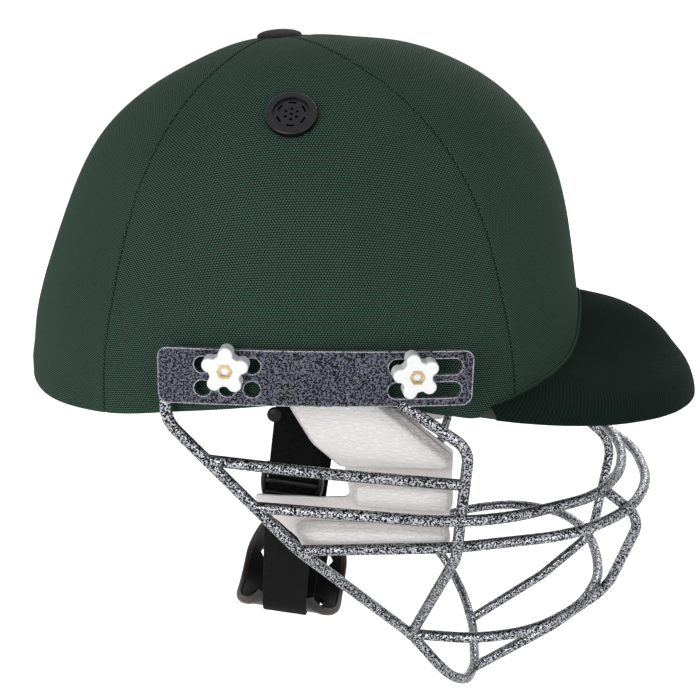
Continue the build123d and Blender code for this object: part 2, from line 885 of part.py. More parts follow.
with BuildPart() as cheek_pad_lower_right:
    add(cushion(lower_pad_shares, lower_pad_top, lower_pad_height))
write(cheek_pad_lower_right, "cheek_pad_lower_right")
write_left(cheek_pad_lower_right, "cheek_pad_lower_left")

with BuildPart() as cheek_pad_backing_right:
    backing_height = upper_pad_top - lower_pad_top + lower_pad_height
    with BuildSketch(Plane.XZ.offset(pad_face_half - pad_depth - soft_gap)):
        Polygon(*pad_outline(backing_shares, upper_pad_top, backing_height), align=None)
        fillet(vertices(), backing_corner)
    extrude(amount=-backing_thickness)
write(cheek_pad_backing_right, "cheek_pad_backing_right")
write_left(cheek_pad_backing_right, "cheek_pad_backing_left")

# Plane of the strap: x to the wearer's left, y up along the strap
lean = radians(strap_lean)
strap_plane = Plane(origin=(strap_place, 0, strap_level), x_dir=(0, 1, 0), z_dir=(cos(lean), 0, -sin(lean)))
strap_up = strap_plane.y_dir

# Pins that carry the strap inside the shell
with BuildPart() as strap_pins:
    head_plane = pin_plane.offset(-webbing_thickness / 2 - soft_gap - pin_head_thickness)
    add(rod(head_plane, pin_head_radius, pin_head_thickness))
    add(rod(head_plane, pin_radius, half_width))
    add(shell_clear, mode=Mode.INTERSECT)
    mirror(about=Plane.XZ)
write(strap_pins, "strap_pins")

# Webbing of the chin strap, from pin to pin under the cup
with BuildPart() as chin_strap:
    turn = radians(webbing_turn)
    bend_radius = cup_radius + soft_gap + webbing_thickness / 2
    foot_half = bend_radius * sin(turn)
    foot_level = -cup_drop - bend_radius * cos(turn)
    bend_level = foot_level + (strap_half - foot_half) * tan(turn)
    side_points = [(strap_half, webbing_above), (strap_half, bend_level), (foot_half, foot_level)]
    with BuildSketch(strap_plane):
        with BuildLine():
            FilletPolyline(*side_points, radius=webbing_bend)
            CenterArc((0, -cup_drop), bend_radius, start_angle=270 - webbing_turn, arc_size=2 * webbing_turn)
            FilletPolyline(*[(-across, level) for across, level in side_points], radius=webbing_bend)
        trace(line_width=webbing_thickness)
    extrude(amount=webbing_width / 2, both=True)
    fillet(edges().filter_by(Axis.Y).sort_by(Axis.Z)[-4:], webbing_corner)
    eye = rod(pin_plane.offset(-webbing_thickness), pin_radius + running_gap, 2 * webbing_thickness)
    add(on_both_sides(eye), mode=Mode.SUBTRACT)
write(chin_strap, "chin_strap")

# Adjuster that slides on the webbing, above the strap's bend
with BuildPart() as strap_adjuster:
    bend_top = bend_level + webbing_bend * (1 - sin(turn)) / cos(turn)
    low_end = strap_plane.from_local_coords(Vector(-strap_half, bend_top + adjuster_above_bend, 0))
    with BuildSketch(Plane(origin=low_end, x_dir=strap_plane.z_dir, z_dir=strap_up)):
        RectangleRounded(adjuster_width, webbing_thickness + 2 * (soft_gap + adjuster_wall), adjuster_wall)
        Rectangle(webbing_width + 2 * soft_gap, webbing_thickness + 2 * soft_gap, mode=Mode.SUBTRACT)
    extrude(amount=adjuster_length)
write(strap_adjuster, "strap_adjuster")


def cup_plane(turn):
    """The plane on the outside of the cup at a turn from its lowest line, with x along the cup."""
    across = sin(radians(turn))
    down = cos(radians(turn))
    centre = strap_plane.from_local_coords(Vector(0, -cup_drop, 0))
    outward = strap_plane.x_dir * across - strap_up * down
    return Plane(origin=centre + outward * cup_radius, x_dir=strap_plane.z_dir, z_dir=outward)


# Chin cup with a pair of small openings in each wing
with BuildPart() as chin_cup:
    cup_inner_radius = cup_radius - cup_thickness
    with BuildSketch(strap_plane):
        with BuildLine():
            cup_start = 270 + cup_tilt - cup_turn
            outer = CenterArc((0, -cup_drop), cup_radius, start_angle=cup_start, arc_size=2 * cup_turn)
            inner = CenterArc((0, -cup_drop), cup_inner_radius, start_angle=cup_start, arc_size=2 * cup_turn)
            Line(outer @ 0, inner @ 0)
            Line(outer @ 1, inner @ 1)
        make_face()
    extrude(amount=cup_width / 2, both=True)
    with BuildSketch(cup_plane(cup_tilt)):
        RectangleRounded(cup_width, 2 * cup_radius, cup_corner)
    extrude(amount=-2 * cup_radius, mode=Mode.INTERSECT)
    for wing_turn in (cup_tilt - cup_slot_turn, cup_tilt + cup_slot_turn):
        for side in (-1, 1):
            base = side * cup_slot_place
            tip = side * (cup_slot_place + cup_slot_depth)
            with BuildSketch(cup_plane(wing_turn)):
                Polygon((base, -cup_slot_height / 2), (tip, 0), (base, cup_slot_height / 2), align=None)
            extrude(amount=-2 * cup_thickness, both=True, mode=Mode.SUBTRACT)
write(chin_cup, "chin_cup")
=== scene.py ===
import json
import math

import bmesh
import bpy
import numpy as np
from mathutils import Matrix, Vector, noise
from mathutils.bvhtree import BVHTree


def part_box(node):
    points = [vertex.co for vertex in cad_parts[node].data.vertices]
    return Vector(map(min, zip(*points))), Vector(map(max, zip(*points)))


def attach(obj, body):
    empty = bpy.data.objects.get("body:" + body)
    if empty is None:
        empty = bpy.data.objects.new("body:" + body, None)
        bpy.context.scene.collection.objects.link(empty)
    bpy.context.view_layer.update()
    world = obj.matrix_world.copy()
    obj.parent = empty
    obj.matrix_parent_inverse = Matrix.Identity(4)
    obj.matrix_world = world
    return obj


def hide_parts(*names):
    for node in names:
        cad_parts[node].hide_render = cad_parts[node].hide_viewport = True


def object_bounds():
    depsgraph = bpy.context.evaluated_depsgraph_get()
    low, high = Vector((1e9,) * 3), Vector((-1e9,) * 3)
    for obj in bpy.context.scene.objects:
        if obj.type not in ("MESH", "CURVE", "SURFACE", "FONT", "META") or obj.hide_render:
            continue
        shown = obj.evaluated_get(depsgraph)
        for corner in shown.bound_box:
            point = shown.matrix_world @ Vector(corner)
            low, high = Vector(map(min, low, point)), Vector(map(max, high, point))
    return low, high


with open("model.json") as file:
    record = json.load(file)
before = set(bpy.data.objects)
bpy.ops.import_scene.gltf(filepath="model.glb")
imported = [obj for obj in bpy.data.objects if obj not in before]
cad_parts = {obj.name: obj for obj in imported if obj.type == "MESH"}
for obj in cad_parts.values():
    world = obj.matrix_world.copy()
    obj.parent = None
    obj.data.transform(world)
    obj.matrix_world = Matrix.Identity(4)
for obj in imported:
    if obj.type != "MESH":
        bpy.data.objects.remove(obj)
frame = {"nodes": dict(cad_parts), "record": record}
cad_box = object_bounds()
nodes = frame["nodes"]
scene = bpy.context.scene
MM = 0.001
SIDES = {"right": -1, "left": 1}

# Colours
# Knit colours: the dark one is painted shade in the hollows between stitches and also the tone of the
# darker patches; the light one is the crests' colour.
CLOTH_DARK = (0.0030, 0.0085, 0.0060)
CLOTH_LIGHT = (0.066, 0.122, 0.092)
# The peak's knit is a far darker copy of the dome's knit: painted shade, as the peak lies in shade.
PEAK_SHADED_DARK = (0.0016, 0.0060, 0.0045)
PEAK_SHADED_LIGHT = (0.011, 0.023, 0.018)
THREAD = (0.003, 0.012, 0.008)


# Node materials
class Shader:
    """Nodes built up round the Principled shader of a new material, or a world's background."""

    def __init__(self, name, world=None):
        self.material = bpy.data.materials.new(name) if world is None else world
        self.material.use_nodes = True
        tree = self.material.node_tree
        self.nodes, self.links = tree.nodes, tree.links
        self.main = self.nodes["Principled BSDF" if world is None else "Background"]

    def put(self, socket, value):
        """Link a socket, or write a constant on it; None leaves it as it is."""
        if value is None:
            return
        if isinstance(value, bpy.types.NodeSocket):
            self.links.new(value, socket)
        elif isinstance(value, tuple) and len(value) == 3 and socket.type == "RGBA":
            socket.default_value = (*value, 1.0)
        else:
            socket.default_value = value

    def node(self, kind, values=None, **settings):
        made = self.nodes.new("ShaderNode" + kind)
        for key, value in settings.items():
            setattr(made, key, value)
        for key, value in (values or {}).items():
            self.put(made.inputs[key], value)
        return made

    def math(self, operation, first, second=0.0, clamp=False):
        return self.node("Math", {0: first, 1: second}, operation=operation, use_clamp=clamp).outputs[0]

    def mix(self, factor, first, second):
        made = self.node("Mix", {0: factor, 6: first, 7: second}, data_type="RGBA")
        return made.outputs[2]

    def span(self, value, low, high, to_low=0.0, to_high=1.0):
        """Map a value from one range to another, clamped."""
        made = self.node("MapRange", {0: value, 1: low, 2: high, 3: to_low, 4: to_high})
        return made.outputs[0]

    def place(self, stretch=(1.0, 1.0, 1.0), turn=(0.0, 0.0, 0.0)):
        """The place on the object, in metres."""
        at = self.node("TexCoord").outputs["Object"]
        return self.node("Mapping", {"Vector": at, "Scale": stretch, "Rotation": turn}).outputs[0]

    def weave(self):
        """The two coordinates of the UV map, in metres."""
        return self.node("SeparateXYZ", {0: self.node("UVMap", uv_map="weave").outputs[0]}).outputs

    def noise(self, scale, detail=2.0, rough=0.5, at=None, distortion=0.0):
        values = {"Scale": scale, "Detail": detail, "Roughness": rough, "Distortion": distortion,
                  "Vector": at or self.place()}
        return self.node("TexNoise", values).outputs[0]

    def cells(self, scale, feature="F1", at=None):
        values = {"Scale": scale, "Vector": at or self.place()}
        return self.node("TexVoronoi", values, feature=feature).outputs["Distance"]

    def bump(self, height, distance, strength=1.0, normal=None):
        values = {"Height": height, "Distance": distance, "Strength": strength, "Normal": normal}
        return self.node("Bump", values).outputs[0]

    def finish(self, **sockets):
        for key, value in sockets.items():
            self.put(self.main.inputs[key.replace("_", " ")], value)
        return self.material


STITCH_WIDTH, STITCH_HEIGHT, RIB_PITCH, YARN_PITCH = 0.00115, 0.00098, 0.0011, 0.0008


def knit(name, dark, light, sheen=0.04):
    """Rounded stitches in rows that lie like bricks, with painted shade in the hollows between them."""
    shader = Shader(name)
    uv = shader.weave()
    along = shader.math("DIVIDE", uv[0], STITCH_WIDTH)
    up = shader.math("DIVIDE", uv[1], STITCH_HEIGHT)
    row = shader.math("FLOOR", up)
    shift = shader.math("MULTIPLY", shader.math("FLOORED_MODULO", row, 2.0), 0.5)
    across = shader.math("FRACT", shader.math("ADD", along, shift))
    wave_u = shader.math("SINE", shader.math("MULTIPLY", across, math.pi))
    wave_v = shader.math("SINE", shader.math("MULTIPLY", shader.math("FRACT", up), math.pi))
    height = shader.math("MULTIPLY", wave_u, wave_v)
    worn = shader.noise(28.0, 3.0, 0.55)
    fine = shader.noise(1500.0, 2.0, 0.6)
    # The colour follows the stitch height: painted shade in the hollows between stitches, the light colour
    # on the crests.
    colour = shader.mix(shader.span(height, 0.15, 0.85), dark, light)
    varied = shader.mix(shader.span(worn, 0.3, 0.7, 0.0, 0.16), colour, dark)
    varied = shader.mix(shader.span(fine, 0.45, 0.75, 0.0, 0.16), varied, light)
    normal = shader.bump(height, 0.00022, 0.75, shader.bump(fine, 0.00008, 0.5))
    rough = shader.span(height, 0.0, 1.0, 0.95, 0.8)
    return shader.finish(Base_Color=varied, Roughness=rough, Normal=normal,
                         Sheen_Weight=sheen, Sheen_Roughness=0.42, Sheen_Tint=(0.72, 0.92, 0.82),
                         Specular_IOR_Level=0.08)


def hammered(name, dark, silver, metal, share, edges=False):
    """Hammer-finish paint: small black specks on silver, with bright edges if asked, partly wear and partly
    a painted highlight.
    """
    shader = Shader(name)
    at = shader.place()
    specks = shader.noise(1350.0, 1.0, 0.5, at, 0.4)
    mask = shader.span(specks, share - 0.025, share + 0.025)
    cloudy = shader.noise(45.0, 2.0, 0.5, at)
    bright = shader.mix(shader.span(cloudy, 0.35, 0.7), silver, tuple(0.8 * c for c in silver))
    colour = shader.mix(mask, dark, bright)
    # Bright rims along sharp edges: partly wear, partly a painted highlight where rounded edges would catch
    # the light.
    if edges:
        round_normal = shader.node("Bevel", {"Radius": 0.0010}, samples=4).outputs[0]
        true_normal = shader.node("NewGeometry").outputs["Normal"]
        pair = {0: round_normal, 1: true_normal}
        agree = shader.node("VectorMath", pair, operation="DOT_PRODUCT").outputs[1]
        patches = shader.span(shader.noise(900.0, 2.0), 0.30, 0.48)
        worn = shader.math("MULTIPLY", shader.span(agree, 0.985, 0.86), patches)
        colour = shader.mix(worn, colour, (0.62, 0.63, 0.68))
    normal = shader.bump(mask, 0.00010, 0.6, shader.bump(shader.noise(260.0, 2.0, 0.5, at), 0.0003, 0.5))
    return shader.finish(Base_Color=colour, Metallic=shader.math("MULTIPLY", mask, metal),
                         Roughness=shader.span(mask, 0.0, 1.0, 0.3, 0.27), Normal=normal,
                         Coat_Weight=0.06, Coat_Roughness=0.12, Specular_IOR_Level=0.1)


def coated_leather(name):
    shader = Shader(name)
    at = shader.place((0.8, 1.0, 2.0), (0.0, math.radians(28.0), 0.0))
    wrinkles = shader.cells(330.0, "DISTANCE_TO_EDGE", at)
    folds = shader.noise(420.0, 4.0, 0.6, at, 1.2)
    pores = shader.noise(2600.0, 2.0, 0.6)
    crease = shader.span(wrinkles, 0.0, 0.16)
    height = shader.math("ADD", shader.math("MULTIPLY", crease, 0.55), shader.math("MULTIPLY", folds, 0.65))
    # Darker in the creases and in the hollows of the folds: painted shade.
    colour = shader.mix(shader.math("MULTIPLY", crease, shader.span(folds, 0.3, 0.6), clamp=True),
                        (0.84, 0.795, 0.785), (0.90, 0.865, 0.855))
    normal = shader.bump(height, 0.00042, 0.8, shader.bump(pores, 0.00004, 0.4))
    return shader.finish(Base_Color=colour, Roughness=shader.span(folds, 0.3, 0.7, 0.52, 0.4),
                         Normal=normal, Subsurface_Weight=0.06,
                         Subsurface_Radius=(0.002, 0.0015, 0.0013), Specular_IOR_Level=0.42)


def foam_skin(name, low, high, scale, depth, rough):
    """A closed-cell foam or moulded skin."""
    shader = Shader(name)
    cells = shader.cells(scale)
    fine = shader.noise(scale * 4, 3.0, 0.6)
    colour = shader.mix(shader.span(cells, 0.0, 0.7), high, low)
    normal = shader.bump(cells, depth, 0.5, shader.bump(fine, depth / 5, 0.5))
    return shader.finish(Base_Color=colour, Normal=normal,
                         Roughness=shader.span(fine, 0.3, 0.7, rough, rough - 0.12))


def moulded(name, low, high, roughness, grain=900.0, depth=0.00003, coat=0.0, subsurface=0.0,
            specular=0.5):
    """A moulded plastic or rubber with a fine grain and slight clouds."""
    shader = Shader(name)
    clouds = shader.noise(70.0, 3.0, 0.55)
    fine = shader.noise(grain, 3.0, 0.6)
    colour = shader.mix(shader.span(clouds, 0.3, 0.7), low, high)
    normal = shader.bump(fine, depth, 0.6)
    rough = shader.span(fine, 0.3, 0.7, roughness - 0.06, roughness + 0.06)
    return shader.finish(Base_Color=colour, Roughness=rough, Normal=normal, Coat_Weight=coat,
                         Coat_Roughness=0.2, Subsurface_Weight=subsurface, Specular_IOR_Level=specular)


def turned_metal(name, low, high, roughness):
    shader = Shader(name)
    streaks = shader.noise(1.0, 3.0, 0.6, shader.place((60.0, 60.0, 1400.0)))
    blots = shader.noise(260.0, 2.0, 0.6)
    colour = shader.mix(shader.span(streaks, 0.3, 0.7), low, high)
    colour = shader.mix(shader.span(blots, 0.5, 0.8, 0.0, 0.45), colour, tuple(0.45 * c for c in low))
    return shader.finish(Base_Color=colour, Metallic=1.0, Normal=shader.bump(streaks, 0.00002, 0.5),
                         Roughness=shader.span(streaks, 0.2, 0.8, roughness, roughness + 0.18))


def ribbed(name, low, high):
    """Webbing with ribs across it and yarns along it, with painted shade in the troughs between them."""
    shader = Shader(name)
    uv = shader.weave()
    ribs = shader.math("SINE", shader.math("MULTIPLY", uv[1], 2 * math.pi / RIB_PITCH))
    yarns = shader.math("SINE", shader.math("MULTIPLY", uv[0], 2 * math.pi / YARN_PITCH))
    both = shader.math("ADD", shader.math("MULTIPLY", ribs, 0.7), shader.math("MULTIPLY", yarns, 0.3))
    fuzz = shader.noise(1700.0, 3.0, 0.65)
    # The colour follows the ribs and yarns: painted shade in the troughs, the light colour on the crests.
    colour = shader.mix(shader.span(both, -0.8, 0.9), low, high)
    colour = shader.mix(shader.span(fuzz, 0.5, 0.8, 0.0, 0.5), colour, high)
    normal = shader.bump(both, 0.00016, 0.7, shader.bump(fuzz, 0.00006, 0.5))
    return shader.finish(Base_Color=colour, Roughness=shader.span(fuzz, 0.3, 0.7, 0.85, 0.7), Normal=normal,
                         Specular_IOR_Level=0.08)


def brushed_cloth(name, low, high, scale=900.0):
    """A short-pile lining cloth."""
    shader = Shader(name)
    pile = shader.noise(scale, 4.0, 0.7)
    patches = shader.noise(60.0, 2.0, 0.5)
    colour = shader.mix(shader.span(pile, 0.35, 0.7), low, high)
    colour = shader.mix(shader.span(patches, 0.4, 0.7, 0.0, 0.3), colour, low)
    return shader.finish(Base_Color=colour, Roughness=shader.span(pile, 0.3, 0.7, 0.95, 0.82),
                         Sheen_Weight=0.04, Sheen_Roughness=0.5, Specular_IOR_Level=0.12,
                         Normal=shader.bump(pile, 0.0002, 0.7))


MATERIAL = {
    "cloth": knit("green_knit", CLOTH_DARK, CLOTH_LIGHT),
    # The peak's cloth takes the darker copy of the knit, as painted shade.
    "peak_cloth": knit("peak_knit_shaded", PEAK_SHADED_DARK, PEAK_SHADED_LIGHT, sheen=0.0),
    "thread": brushed_cloth("thread", THREAD, tuple(2 * c for c in THREAD), 2500.0),
    "button_cloth": brushed_cloth("button_cloth", (0.004, 0.003, 0.004), (0.021, 0.016, 0.019), 1400.0),
    "shell_plastic": moulded("shell_black", (0.012, 0.012, 0.013), (0.02, 0.02, 0.021), 0.38),
    "foam": foam_skin("liner_foam", (0.02, 0.02, 0.022), (0.05, 0.05, 0.053), 330.0, 0.0003, 0.85),
    "comfort_cloth": brushed_cloth("lining_cloth", (0.007, 0.007, 0.008), (0.022, 0.022, 0.024)),
    "black_plastic": moulded("black_moulded", (0.004, 0.004, 0.006), (0.009, 0.009, 0.013), 0.2,
                             1300.0, specular=0.3),
    "slot_shade": moulded("slot_shade", (0.0004, 0.0004, 0.0005), (0.001, 0.001, 0.0012), 0.8,
                          specular=0.0),
    "peak_plastic": moulded("board", (0.012, 0.02, 0.016), (0.02, 0.03, 0.024), 0.5),
    # The plate's silver is far darker than the bars': painted shade, standing for the dark surroundings
    # that the flat plate reflects.
    "plate_steel": hammered("hammered_plate_shaded", (0.002, 0.002, 0.003), (0.125, 0.130, 0.172), 0.35, 0.51,
                            edges=True),
    "hammered_steel": hammered("hammered_bars", (0.0025, 0.0025, 0.003), (0.47, 0.48, 0.52), 0.9, 0.515),
    "stud_steel": turned_metal("stud_steel", (0.45, 0.46, 0.48), (0.62, 0.63, 0.65), 0.28),
    "white_nylon": moulded("white_nylon", (0.84, 0.84, 0.84), (0.89, 0.89, 0.895), 0.34, 700.0,
                           0.00003, 0.1, 0.05),
    "insert_brass": turned_metal("turned_brass", (0.26, 0.19, 0.09), (0.56, 0.45, 0.25), 0.3),
    "pad_leather": coated_leather("white_coated_leather"),
    "backing": foam_skin("white_foam", (0.76, 0.72, 0.715), (0.84, 0.80, 0.795), 900.0, 0.00012, 0.6),
    "binding": brushed_cloth("binding_cloth", (0.004, 0.014, 0.009), (0.01, 0.035, 0.022), 1200.0),
    "webbing": ribbed("black_webbing", (0.0008, 0.0008, 0.0009), (0.0055, 0.0055, 0.006)),
    "cup_plastic": moulded("cup_rubber", (0.0035, 0.0033, 0.0035), (0.008, 0.0072, 0.0075), 0.42,
                           800.0, 0.00005, specular=0.22),
    "cup_bead": moulded("cup_bead", (0.014, 0.010, 0.008), (0.034, 0.025, 0.020), 0.45, 700.0, 0.00008,
                        specular=0.3),
}
slots = {part["node"]: part["material_slot"] for part in frame["record"]["subparts"]}
for name, node in nodes.items():
    key = "plate_steel" if name.startswith("side_plate_") else slots[name]
    if not node.material_slots:
        node.data.materials.append(MATERIAL[key])
    for holder in node.material_slots:
        holder.material = MATERIAL[key]


def linked(name, data):
    """A new object in the scene."""
    thing = bpy.data.objects.new(name, data)
    scene.collection.objects.link(thing)
    return thing


# Meshes
def made(name, points, faces, material, uv=None):
    """A smooth mesh object from points in millimetres."""
    mesh = bpy.data.meshes.new(name)
    mesh.from_pydata((np.asarray(points, float) * MM).tolist(), [], faces)
    mesh.validate()
    if uv is not None:
        layer = mesh.uv_layers.new(name="weave")
        corners = np.zeros(len(mesh.loops), np.int32)
        mesh.loops.foreach_get("vertex_index", corners)
        layer.data.foreach_set("uv", (np.asarray(uv, float)[corners] * MM).astype(np.float32).ravel())
    mesh.shade_smooth()
    mesh.materials.append(MATERIAL[material])
    return linked(name, mesh)


def grid_faces(rows, columns, wrap_rows=False, wrap_columns=False):
    """Quads over a grid of points."""
    faces = []
    for i in range(rows - (not wrap_rows)):
        for j in range(columns - (not wrap_columns)):
            corners = ((i, j), (i, j + 1), (i + 1, j + 1), (i + 1, j))
            faces.append(tuple(a % rows * columns + b % columns for a, b in corners))
    return faces


def loft_faces(rows, columns):
    """Quads over rings of points, and a face over the first and the last ring."""
    last = (rows - 1) * columns
    return grid_faces(rows, columns, False, True) + [
        tuple(range(columns)), tuple(range(last, last + columns))[::-1]]


def run_along(points):
    """Length run so far at each point of a line."""
    return np.concatenate([[0], np.cumsum(np.linalg.norm(np.diff(points, axis=0), axis=1))])


def at_steps(steps, run, points):
    """Points of a line at given lengths run."""
    return np.stack([np.interp(steps, run, points[:, k]) for k in range(3)], 1)


def even_out(points, rounds):
    """Smooth a line of points, or of rings, with both ends left in place."""
    for _ in range(rounds):
        points[1:-1] = 0.5 * points[1:-1] + 0.25 * (points[:-2] + points[2:])


def full_turn(count):
    return np.linspace(0, 2 * math.pi, count, endpoint=False)


def unit(vectors):
    vectors = np.asarray(vectors, float)
    return vectors / np.linalg.norm(vectors, axis=-1, keepdims=True)


def direction(turn, rise):
    """Unit vectors at a compass turn and one or more rises."""
    return np.stack([np.cos(turn) * np.cos(rise), np.sin(turn) * np.cos(rise), np.sin(rise)], -1)


def waves(points, size):
    """Smooth noise at points, from -1 to 1."""
    return np.array([noise.noise(Vector(point)) for point in points / np.asarray(size)])


def bell(distance, width):
    return np.exp(-(distance / width) ** 2)


def edit_mesh(thing, change):
    """Change a mesh by way of a bmesh."""
    work = bmesh.new()
    work.from_mesh(thing.data)
    change(work)
    work.to_mesh(thing.data)
    work.free()
    return thing


def facing_out(thing):
    """Turn a closed mesh's faces outwards."""
    return edit_mesh(thing, lambda work: bmesh.ops.recalc_face_normals(work, faces=work.faces))


def apply_all(thing):
    """Apply every modifier of an object."""
    graph = bpy.context.evaluated_depsgraph_get()
    final = bpy.data.meshes.new_from_object(thing.evaluated_get(graph), preserve_all_data_layers=True,
                                            depsgraph=graph)
    thing.modifiers.clear()
    thing.data = final
    return thing


def frames_along(points, closed):
    """Two normals that turn as little as they can along a line of points."""
    points = np.asarray(points, float)
    tangents = np.roll(points, -1, 0) - np.roll(points, 1, 0) if closed else np.gradient(points, axis=0)
    tangents /= np.linalg.norm(tangents, axis=1)[:, None]
    start = np.array([0.0, 0.0, 1.0]) if abs(tangents[0][2]) < 0.9 else np.array([1.0, 0.0, 0.0])
    side = np.cross(tangents[0], start)
    sides = []
    for tangent in tangents:
        side = side - tangent * (side @ tangent)
        side /= np.linalg.norm(side)
        sides.append(side.copy())
    sides = np.array(sides)
    return sides, np.cross(tangents, sides)


def tube(points, radius, around, closed=False, flat=1.0, axes=None):
    """Points and faces of a tube along a line; flat is its height over its width."""
    points = np.asarray(points, float)
    side, up = axes or frames_along(points, closed)
    radius = np.broadcast_to(np.asarray(radius, float), len(points))
    turns = full_turn(around)
    ring = (points[:, None] + radius[:, None, None] * (np.cos(turns)[None, :, None] * side[:, None]
            + flat * np.sin(turns)[None, :, None] * up[:, None]))
    faces = grid_faces(len(points), around, True, True) if closed else loft_faces(len(points), around)
    return ring.reshape(-1, 3), faces


def several(shapes):
    """Points and faces of several shapes as one."""
    points, faces, base = [], [], 0
    for part_points, part_faces in shapes:
        points.append(np.asarray(part_points, float))
        faces += [tuple(base + i for i in face) for face in part_faces]
        base += len(part_points)
    return np.concatenate(points), faces


def dress(thing, body, slot, *stands_for):
    """Ride on a body and stand for CAD nodes; the slot is not used."""
    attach(thing, body)
    if stands_for:
        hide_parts(*stands_for)
    return thing


def piece(name, shape, material, body, slot, *stands_for, uv=None):
    """A closed mesh from points and faces, dressed."""
    return dress(facing_out(made(name, *shape, material, uv)), body, slot, *stands_for)


def both_sides(thing, slot, node):
    """Dress a piece of the right side and its mirror image on the left."""
    name = thing.name.replace("_right", "_left")
    mesh = thing.data.copy()
    mesh.name = name
    mesh.transform(Matrix.Scale(-1, 4, (0, 1, 0)))
    mesh.flip_normals()
    twin = linked(name, mesh)
    return [dress(half, "root", slot, f"{node}_{side}")
            for half, side in ((thing, "right"), (twin, "left"))]


def vertex_values(mesh, what):
    found = np.zeros(len(mesh.vertices) * 3)
    mesh.vertices.foreach_get(what, found)
    return found.reshape(-1, 3)


def tree_of(*names):
    """CAD nodes as one body for rays."""
    meshes = [nodes[name].data for name in names]
    points, faces = several([(vertex_values(mesh, "co"), [polygon.vertices for polygon in mesh.polygons])
                             for mesh in meshes])
    return BVHTree.FromPolygons(points.tolist(), faces)


# Outside of the dome as a radius from the origin, by compass turn and rise, from the cloth's solids
TURN_STEPS, RISE_STEPS = 360, 180
CAST_REACH, LEAST_RADIUS = 0.3, 0.09
dome_tree = tree_of("cover_right", "cover_left", "cover_front", "cover_rear")
turns = np.radians(np.arange(TURN_STEPS))
rises = np.linspace(0, math.pi / 2, RISE_STEPS + 1)
RADII = np.full((RISE_STEPS + 1, TURN_STEPS), np.nan)
for i, rise in enumerate(rises[1:], 1):
    for j, turn in enumerate(turns):
        ray = Vector(direction(turn, rise))
        hit = dome_tree.ray_cast(ray * CAST_REACH, -ray)[0]
        if hit is not None and hit.dot(ray) > LEAST_RADIUS:
            RADII[i, j] = hit.length / MM
RADII[-1] = np.nanmax(RADII[-1])
RADII[0] = 2 * RADII[1] - RADII[2]
hole = np.isnan(RADII)
RADII[hole] = np.nanmean(RADII)


def around_mean(field):
    """The mean of the four neighbours, wrapped round the compass."""
    up = np.vstack([field[1:], field[-1:]])
    down = np.vstack([field[:1], field[:-1]])
    return (up + down + np.roll(field, 1, 1) + np.roll(field, -1, 1)) / 4


for _ in range(600):
    RADII[hole] = around_mean(RADII)[hole]
for _ in range(2):
    RADII[1:-1] = (0.5 * RADII + 0.5 * around_mean(RADII))[1:-1]


def dome_radius(directions):
    """Radius of the dome in millimetres along unit directions, interpolated."""
    directions = np.asarray(directions, float)
    turn = np.degrees(np.arctan2(directions[..., 1], directions[..., 0])) % 360 / 360 * TURN_STEPS
    rise = np.degrees(np.arcsin(np.clip(directions[..., 2], 0, 1))) / 90 * RISE_STEPS
    i = np.clip(np.floor(rise).astype(int), 0, RISE_STEPS - 1)
    j = np.floor(turn).astype(int) % TURN_STEPS
    u, v = turn - np.floor(turn), rise - i
    k = (j + 1) % TURN_STEPS
    low = RADII[i, j] * (1 - u) + RADII[i, k] * u
    high = RADII[i + 1, j] * (1 - u) + RADII[i + 1, k] * u
    return low * (1 - v) + high * v


def on_dome(rays):
    """Points of the dome along unit directions."""
    return rays * dome_radius(rays)[..., None]


def dome_above(x, y):
    """The unit direction of the dome's point above or below a point in plan."""
    turn = math.atan2(y, x)
    level = np.linspace(0, math.pi / 2, 721)
    across = dome_radius(direction(turn, level)) * np.cos(level)
    return direction(turn, np.interp(-math.hypot(x, y), -across, level))


def plan_arc(start, middle, end, count):
    """Points of the arc through three points in plan."""
    chords = np.array([middle, end]) - start
    ux, uy = start + np.linalg.solve(2 * chords, (chords**2).sum(1))
    first, _, last = np.unwrap([math.atan2(y - uy, x - ux) for x, y in (start, middle, end)])
    radius = math.dist(start, (ux, uy))
    return [(ux + radius * math.cos(a), uy + radius * math.sin(a)) for a in np.linspace(first, last, count)]


# Rim line in side view, as in the CAD source: dips at the nape and arches over the ears
REAR_REACH, RIM_ARCH = 130.6, 9.8
RIM_SHARES = ((-1.05, -0.93), (-0.85, -0.86), (-0.67, -0.56), (-0.5, -0.18), (-0.33, 0.32), (-0.185, 0.64),
              (0.06, 1.0), (0.36, 0.73), (0.53, 0.14), (0.61, -0.12), (1.05, -0.12))
rim_x, rim_z = np.array(RIM_SHARES).T * [[REAR_REACH], [RIM_ARCH]]
rim_slope = np.gradient(rim_z, rim_x)
rim_slope[[0, -2, -1]] = 0.0


def rim_height(x):
    """Height of the rim line at places along the dome, smooth between the table's places."""
    x = np.clip(x, rim_x[0], rim_x[-1] - 1e-6)
    k = np.clip(np.searchsorted(rim_x, x) - 1, 0, len(rim_x) - 2)
    span = rim_x[k + 1] - rim_x[k]
    s = (x - rim_x[k]) / span
    return ((2 * s**3 - 3 * s**2 + 1) * rim_z[k] + (s**3 - 2 * s**2 + s) * span * rim_slope[k]
            + (3 * s**2 - 2 * s**3) * rim_z[k + 1] + (s**3 - s**2) * span * rim_slope[k + 1])


WARP_HEIGHT = 60.0


def to_rim(points):
    """Move points of the dome so that those at the rim plane come to the rim line."""
    share = np.clip(1 - points[:, 2] / WARP_HEIGHT, 0, 1) ** 2
    level = points[:, 2] + share * rim_height(points[:, 0])
    flat = np.hypot(points[:, 0], points[:, 1])
    before = dome_radius(unit(points))
    rays = unit(np.column_stack([points[:, :2], np.maximum(level, 0)]))
    after = dome_radius(rays)
    above = flat - before * flat / np.linalg.norm(points, axis=1)
    wide = after * np.hypot(rays[:, 0], rays[:, 1]) + above
    return np.column_stack([points[:, :2] * (wide / flat)[:, None], level])


